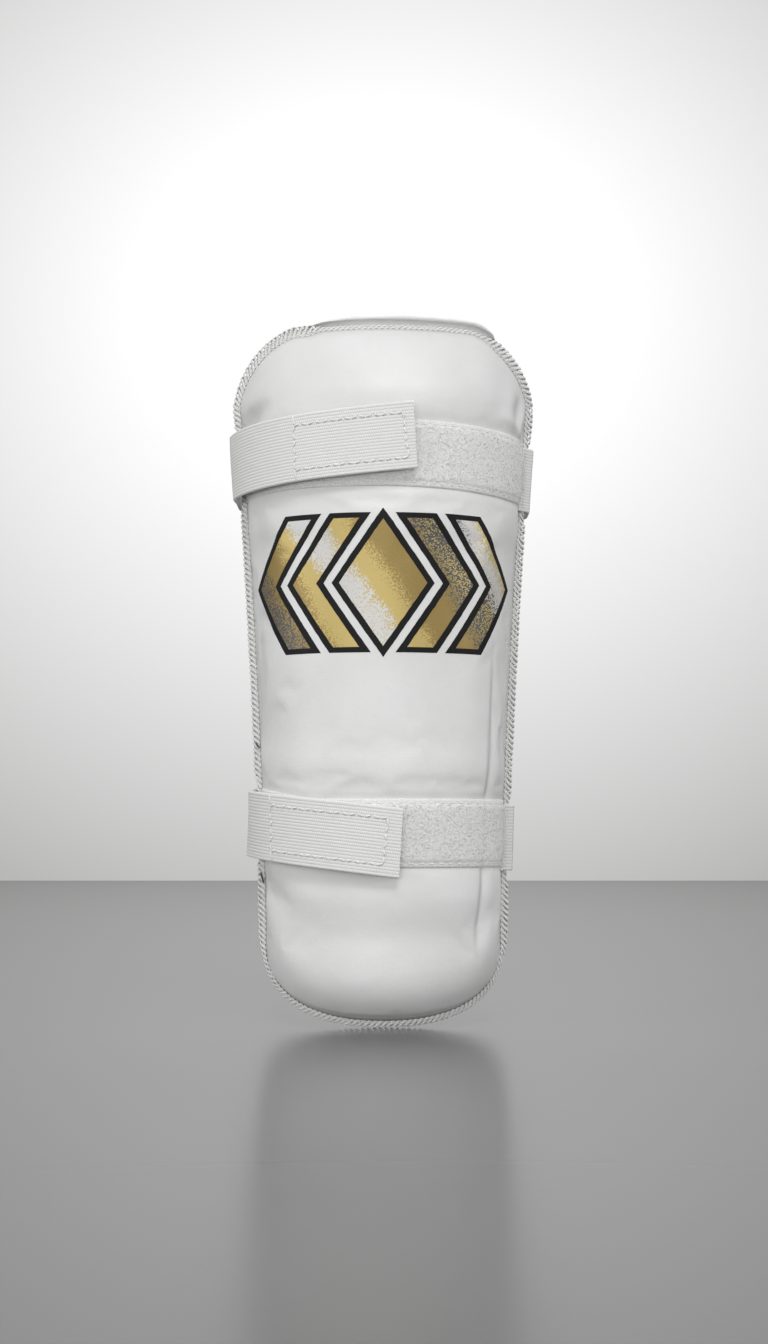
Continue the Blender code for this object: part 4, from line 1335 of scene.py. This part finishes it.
def rib_stations():
    """Stations across the webbing, close enough to draw every rib and the selvedges."""
    half = RIBS * RIB_PITCH / 2
    ribs = np.linspace(-half, half, RIBS * 5 + 1)
    bead = half + SELVEDGE_WIDTH * np.array((0.15, 0.4, 0.65, 0.85, 0.95, 1.0))
    return np.concatenate((-bead[::-1], ribs, bead))


def webbing(name, sheet, first, last):
    """Ribbed webbing over a stretch of the strap."""
    distance = np.linspace(first, last, int((last - first) / WEBBING_STEP) + 1)
    u, v = np.meshgrid(distance, rib_stations())
    face = rib_profile(v)
    uneven = 0.05 * MM * clouds(on_chart(u, v), 6 * MM, 21.0, 1)
    upper = sheet.surface(u, v, face + uneven)[0]
    lower = sheet.surface(u, v, -face + uneven)[0]
    return slab(name, lower, upper, u, v, ELASTIC)


def run_of_stitches(name, paths, ups, wide):
    """Stitches as short bowed tubes whose ends dip into the cloth.

    paths holds (start, end) pairs of points; ups the direction out of the cloth.
    """
    starts, ends = paths[:, 0], paths[:, 1]
    t = np.linspace(0.0, 1.0, 7)
    bow = np.sin(np.pi * t) ** 0.5
    lift = (bow - 0.8) * 0.34 * MM
    points = starts[:, None] + (ends - starts)[:, None] * t[:, None] + ups[:, None] * lift[:, None]
    radius = wide * (0.75 + 0.25 * bow)
    directions = np.broadcast_to(ups[:, None], points.shape)
    return tubes(name, points, directions, radius[None], radius[None] * 0.7, THREAD)


def line_stitches(start, end, pitch, gap, sway):
    """(start, end) pairs in the plane along a line; sway alternates them sideways."""
    start, end = np.array(start), np.array(end)
    way = end - start
    length = np.linalg.norm(way)
    count = max(round(length / pitch), 1)
    aside = np.array((way[1], start[0] - end[0])) / length * sway
    pairs = []
    for i in range(count):
        t0, t1 = (i + gap / 2 * (i > 0)) / count, (i + 1 - gap / 2 * (i < count - 1)) / count
        k = 1 if i % 2 else -1
        pairs.append((start + way * t0 + aside * k, start + way * t1 - aside * k))
    return np.array(pairs)


def rectangle_stitches(x0, x1, y0, y1, stitch):
    corners = ((x0, y0), (x1, y0), (x1, y1), (x0, y1), (x0, y0))
    sides = zip(corners, corners[1:])
    return np.concatenate([line_stitches(a, b, *stitch) for a, b in sides])


def build_strap(strap):
    sheet, name = StrapSheet(strap), strap.name
    middle = (sheet.flap_length + sheet.length) / 2
    flap = webbing(name + "_strap_front", sheet, 0.0, middle)
    band = webbing(name + "_strap_back", sheet, middle, sheet.length)
    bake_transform(flap)
    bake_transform(band)
    for piece, node, length in ((flap, "_strap_flap", middle),
                                (band, "_strap_band", sheet.length - middle)):
        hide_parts(name + node)

    # Hook patch with its hooks, under the free end
    u, v = np.meshgrid(np.linspace(1.5 * MM, PATCH_LENGTH, 60),
                       np.linspace(-HOOK_WIDTH / 2, HOOK_WIDTH / 2, 22))
    top, base = -(STRAP_THICKNESS / 2 + 0.05 * MM), -(STRAP_THICKNESS / 2 + 0.45 * MM)
    upper, lower = sheet.surface(u, v, top)[0], sheet.surface(u, v, base)[0]
    patch = join(name + "_hook_strip", slab("hook_base", lower, upper, u, v, HOOK),
                 build_hooks(sheet, base))
    stand_in(patch, name + "_hook_patch", name + "_flap")

    # Thread box on the outer face, with a tail towards each edge
    edge, last = WEBBING / 2 - BOX_SIDE, strap.box[1]
    pairs = [rectangle_stitches(strap.box[0], last, -edge, edge, BOX_STITCH)]
    for side in (-1, 1):
        pairs.append(line_stitches((last, side * edge), (last, side * BOX_TAIL), *BOX_STITCH))
    x, y = np.moveaxis(np.concatenate(pairs), -1, 0)
    points, ups = sheet.surface(x, y, STRAP_THICKNESS / 2 + 0.18 * MM)
    stitches = run_of_stitches(name + "_box_stitches", points, ups.mean(1), 0.34 * MM)
    stand_in(stitches, name + "_flap_stitching", name + "_flap")


HOOK_PITCH, HOOK_ROW_PITCH = 1.35 * MM, 1.05 * MM


def build_hooks(sheet, base):
    """Rows of small moulded hooks that point at the loop tape."""
    side = HOOK_WIDTH / 2
    x, y = np.meshgrid(np.arange(2.6 * MM, PATCH_LENGTH - 1.0 * MM, HOOK_PITCH),
                       np.arange(-side + 1.0 * MM, side - 0.5 * MM, HOOK_ROW_PITCH))
    x, y = x.ravel(), y.ravel()
    root, normal = sheet.surface(x, y, base)
    ahead = unit(sheet.surface(x + 0.5 * MM, y, base)[0] - root)
    flip = np.where(np.round(y / HOOK_ROW_PITCH).astype(int) % 2 == 0, 1.0, -1.0)[:, None]
    t = np.linspace(0.0, 1.0, 6)
    drop = np.array((-0.1, 0.22, 0.45, 0.60, 0.56, 0.42)) * MM
    lean = np.array((0.0, 0.0, 0.06, 0.22, 0.40, 0.46)) * MM
    points = (root[:, None] - normal[:, None] * drop[:, None]
              + (ahead * flip)[:, None] * lean[:, None])
    ups = np.broadcast_to(np.cross(normal, ahead)[:, None], points.shape)
    radius = 0.11 * MM * (1.15 - 0.5 * t)[None]
    return tubes("hooks", points, ups, radius, radius, HOOK, sides=4)


# ---------------------------------------------------------------- loop tape

GROUND_TOP, PILE_TOP = 0.62 * MM, 0.92 * MM
TAPE_SELVEDGE, TAPE_MARGIN = 1.9 * MM, 1.5 * MM
TAPE_COLUMNS, TAPE_ROWS = 212, 50
LOOPS_PER_TAPE = 3600


def tape_point(strap, share, across):
    """(s, z) on the tape; across is 0 at its lower edge."""
    z = tape_middle(strap, share) + WEBBING * (across - 0.5)
    left, right = -(half_arc(z) - TAPE_END_LEFT), half_arc(z) - TAPE_END_RIGHT
    return left + (right - left) * share, z


def build_tape(strap, skin):
    share, across = unit_grid(TAPE_COLUMNS, TAPE_ROWS)
    s, z = tape_point(strap, share, across)
    ground = skin.height(s, z) + 0.04 * MM
    edge = np.minimum(across, 1.0 - across) * WEBBING
    ends = (1.0 - share) * 105.0 * MM
    pile = ease((edge - TAPE_SELVEDGE) / (0.9 * MM)) * ease(ends / (1.2 * MM))
    fuzz = clouds(on_chart(s, z), 0.8 * MM, 31.0, 3)
    border = np.clip(np.minimum(edge, ends) / (0.3 * MM), 0.25, 1.0)
    weave = 0.05 * MM * np.sin(s / (0.9 * MM) * 2 * np.pi / 2) * (1 - pile)
    thick = GROUND_TOP * border + weave + (PILE_TOP - GROUND_TOP + 0.03 * MM * fuzz) * pile
    base = chart_slab("tape_base", s, z, ground, ground + thick, LOOP)
    tape = join(strap.name + "_loop_pile", base, build_loops(strap, skin))
    stand_in(tape, strap.name + "_loop_tape")

    # Stitches that sew it down along all its edges
    run = 2 * half_arc(strap.tape_z) - TAPE_END_LEFT - TAPE_END_RIGHT
    pairs = rectangle_stitches(TAPE_MARGIN, run - TAPE_MARGIN, TAPE_MARGIN,
                               WEBBING - TAPE_MARGIN, TAPE_STITCH)
    s, z = tape_point(strap, pairs[..., 0] / run, pairs[..., 1] / WEBBING)
    points = place(s, z, skin.height(s, z) + GROUND_TOP + 0.10 * MM)
    stitches = run_of_stitches(strap.name + "_tape_thread", points, outward(s, z).mean(1),
                               0.20 * MM)
    stand_in(stitches, strap.name + "_tape_stitching")


def build_loops(strap, skin):
    """Fibre loops that stand out of the pile."""
    draw = np.random.default_rng(17 if strap.name == "upper" else 18)
    share = draw.uniform(0.012, 0.988, LOOPS_PER_TAPE)
    margin = (TAPE_SELVEDGE + 0.3 * MM) / WEBBING
    across = draw.uniform(margin, 1.0 - margin, LOOPS_PER_TAPE)
    turn = draw.uniform(0.0, 2 * np.pi, LOOPS_PER_TAPE)
    size = draw.uniform(0.25, 0.44, LOOPS_PER_TAPE) * MM
    tilt = draw.uniform(-0.6, 0.6, LOOPS_PER_TAPE)
    s, z = tape_point(strap, share, across)
    ground = skin.height(s, z) + PILE_TOP - 0.12 * MM
    t = np.linspace(0.0, np.pi, 6)[None]
    along, up = size[:, None] * np.cos(t), size[:, None] * np.sin(t) * 1.05
    ds = along * np.cos(turn)[:, None] - up * (np.sin(turn) * tilt)[:, None]
    dz = along * np.sin(turn)[:, None] + up * (np.cos(turn) * tilt)[:, None]
    points = place(s[:, None] + ds, z[:, None] + dz, ground[:, None] + up)
    normal = np.cross(points[:, 1] - points[:, 0], points[:, 3] - points[:, 0])
    ups = np.broadcast_to(normal[:, None], points.shape)
    return tubes("loops", points, ups, 0.055 * MM, 0.055 * MM, LOOP, sides=4)


# ---------------------------------------------------------------- anchors at the right edge

ANCHOR_THICK, ANCHOR_LIFT, ANCHOR_LOW = 1.1 * MM, GAP + 0.6 * MM, -0.1 * MM
ANCHOR_FRONT_ROWS = (ANCHOR_FRONT, 3.4 * MM, 2.3 * MM, 1.2 * MM)
ANCHOR_BACK_ROWS = (1.5, 4.5, 8.0, 10.5, ANCHOR_BACK / MM)
BAR_HEIGHTS = np.arange(-10.5, 10.6, 0.62) * MM


def build_anchor(strap, skin):
    """Strap end folded round the right edge, with the bars of thread that hold it."""
    across = rib_stations()
    z = strap.anchor_z + across
    half = half_arc(z)
    rows, lift = [], ANCHOR_LIFT
    for inset in ANCHOR_FRONT_ROWS:
        ground = np.maximum(skin.height(half - inset, z), THREAD_TOP - 0.05 * MM)
        rows.append((half - inset, ground + ANCHOR_THICK / 2 + 0.12 * MM))
    for first, last, level in ((90.0, 0.0, THREAD_TOP), (0.0, -90.0, ANCHOR_LOW)):
        for angle in np.radians(np.linspace(first, last, 7)):
            rows.append((half + THREAD_OUT + lift * math.cos(angle),
                         level + lift * math.sin(angle)))
    for reach in np.array(ANCHOR_BACK_ROWS) * MM:
        rows.append((half - reach, np.full_like(z, ANCHOR_LOW - lift)))
    centre = np.stack([place(s, z, np.broadcast_to(h, z.shape)) for s, h in rows], 1)
    centre = refine(centre)
    normal = unit(-np.cross(np.gradient(centre, axis=1), np.gradient(centre, axis=0)))
    outer = np.where((normal * outward(half, z)[:, None]).sum(-1)[:, :1] < 0, -1.0, 1.0)
    normal = normal * outer[..., None]
    face = rib_profile(across)[:, None] * (ANCHOR_THICK / STRAP_THICKNESS)
    u = running_length(centre, 1)
    v = np.broadcast_to(across[:, None], u.shape)
    anchor = slab(strap.name + "_anchor_fold", centre - normal * face[..., None],
                  centre + normal * face[..., None], u, v, ELASTIC)
    stand_in(anchor, strap.name + "_strap_anchor")

    # Threads that hold it: a row of bars on the front leg and a box on the back leg
    bars = []
    for i, offset in enumerate(BAR_HEIGHTS):
        slant = 0.3 if i % 2 else -0.3
        bars.append(((3.35 * MM, offset), (2.0 * MM, offset + slant * MM)))
    s, z = anchor_spots(strap, np.array(bars))
    ground = np.maximum(skin.height(s, z), THREAD_TOP - 0.05 * MM) + ANCHOR_THICK + 0.12 * MM
    front = run_of_stitches("front_bars", place(s, z, ground), outward(s, z).mean(1), 0.17 * MM)
    s, z = anchor_spots(strap, rectangle_stitches(4.5 * MM, 11.5 * MM, -9.5 * MM, 9.5 * MM,
                                                  ANCHOR_STITCH))
    back = run_of_stitches("back_box", place(s, z, ANCHOR_LOW - lift - ANCHOR_THICK / 2),
                           -outward(s, z).mean(1), 0.2 * MM)
    stand_in(join(strap.name + "_anchor_thread", front, back),
             strap.name + "_anchor_bartack")


def anchor_spots(strap, pairs):
    """(s, z) of pairs given by inset from the right edge and height over the anchor's middle."""
    z = strap.anchor_z + pairs[..., 1]
    return half_arc(z) - pairs[..., 0], z


def refine(points):
    """Put two points between the columns of a grid by smooth interpolation."""
    count = points.shape[1]
    fine = np.linspace(0.0, count - 1.0, (count - 1) * 3 + 1)
    i = np.clip(fine.astype(int), 0, count - 2)
    t = (fine - i)[None, :, None]
    before, after = np.maximum(i - 1, 0), np.minimum(i + 2, count - 1)
    p0, p1, p2, p3 = points[:, before], points[:, i], points[:, i + 1], points[:, after]
    return 0.5 * (2 * p1 + (p2 - p0) * t + (2 * p0 - 5 * p1 + 4 * p2 - p3) * t ** 2
                  + (3 * p1 - p0 - 3 * p2 + p3) * t ** 3)


# ---------------------------------------------------------------- printed emblem

def print_film(node, area, cells, lift, skin, material):
    """Film of ink that follows the cover; area(a, b) gives (s, z)."""
    s, z = area(*unit_grid(*cells))
    s = s + 0.10 * MM * clouds(on_chart(s, z), 2.2 * MM, 41.0)
    ground = skin.height(s, z) + lift
    film = chart_slab(node.replace("emblem", "print"), s, z, ground - FILM_DEPTH, ground, material)
    stand_in(film, node)


def lozenge_area(outline):
    """Middle shape, grown by an outline on every side."""
    slant = math.hypot(LOZENGE_HALF_WIDTH, EMBLEM_HALF_HEIGHT)
    grow = 1.0 + outline * slant / (LOZENGE_HALF_WIDTH * EMBLEM_HALF_HEIGHT)

    def area(a, b):
        return (grow * LOZENGE_HALF_WIDTH * (a + b - 1.0),
                EMBLEM_Z + grow * EMBLEM_HALF_HEIGHT * (b - a))
    return area


def chevron_area(side, turn, outline):
    """One chevron, its sides parallel to the lozenge's; turn counts from the lozenge out."""
    slope = LOZENGE_HALF_WIDTH / EMBLEM_HALF_HEIGHT
    sideways = outline * math.hypot(1.0, slope)
    start = CHEVRON_GAP + turn * (CHEVRON_WIDTH + CHEVRON_GAP) - sideways

    def area(a, b):
        rise = (EMBLEM_HALF_HEIGHT + outline) * (2.0 * b - 1.0)
        inner = LOZENGE_HALF_WIDTH - slope * np.abs(rise) + start
        along = a if side > 0 else 1.0 - a
        return side * (inner + (CHEVRON_WIDTH + 2.0 * sideways) * along), EMBLEM_Z + rise
    return area


def build_print(node, area, cells, skin):
    """One printed shape: black ink with a gold film on it that leaves an outline."""
    print_film(node + "_outline", area(OUTLINE), cells, BLACK_LIFT, skin, FILM)
    print_film(node, area(-INK_SPREAD), cells, GOLD_LIFT, skin, FOIL)


def build_emblem(skin):
    build_print("emblem_lozenge", lozenge_area, LOZENGE_CELLS, skin)
    for side, hand in ((-1, "left"), (1, "right")):
        for turn, row in enumerate(("inner", "outer")):
            build_print(f"emblem_{hand}_{row}_chevron", partial(chevron_area, side, turn),
                        CHEVRON_CELLS, skin)


# ---------------------------------------------------------------- frame pieces that stay

def finish_frame():
    soft = foam_finish("soft_foam", (0.60, 0.62, 0.65), (0.38, 0.40, 0.43), 0.9)
    for node, material in (("comfort_foam", soft), ("impact_shell", plate_finish())):
        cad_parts[node].material_slots[0].material = material


def main():
    build_camera()
    build_stage()
    finish_frame()
    skin = Skin(build_cover())
    build_foam(skin)
    build_lining()
    build_rim()
    build_overlock()
    build_tails()
    for strap in STRAPS:
        build_tape(strap, skin)
        build_anchor(strap, skin)
        build_strap(strap)
    build_emblem(skin)


main()
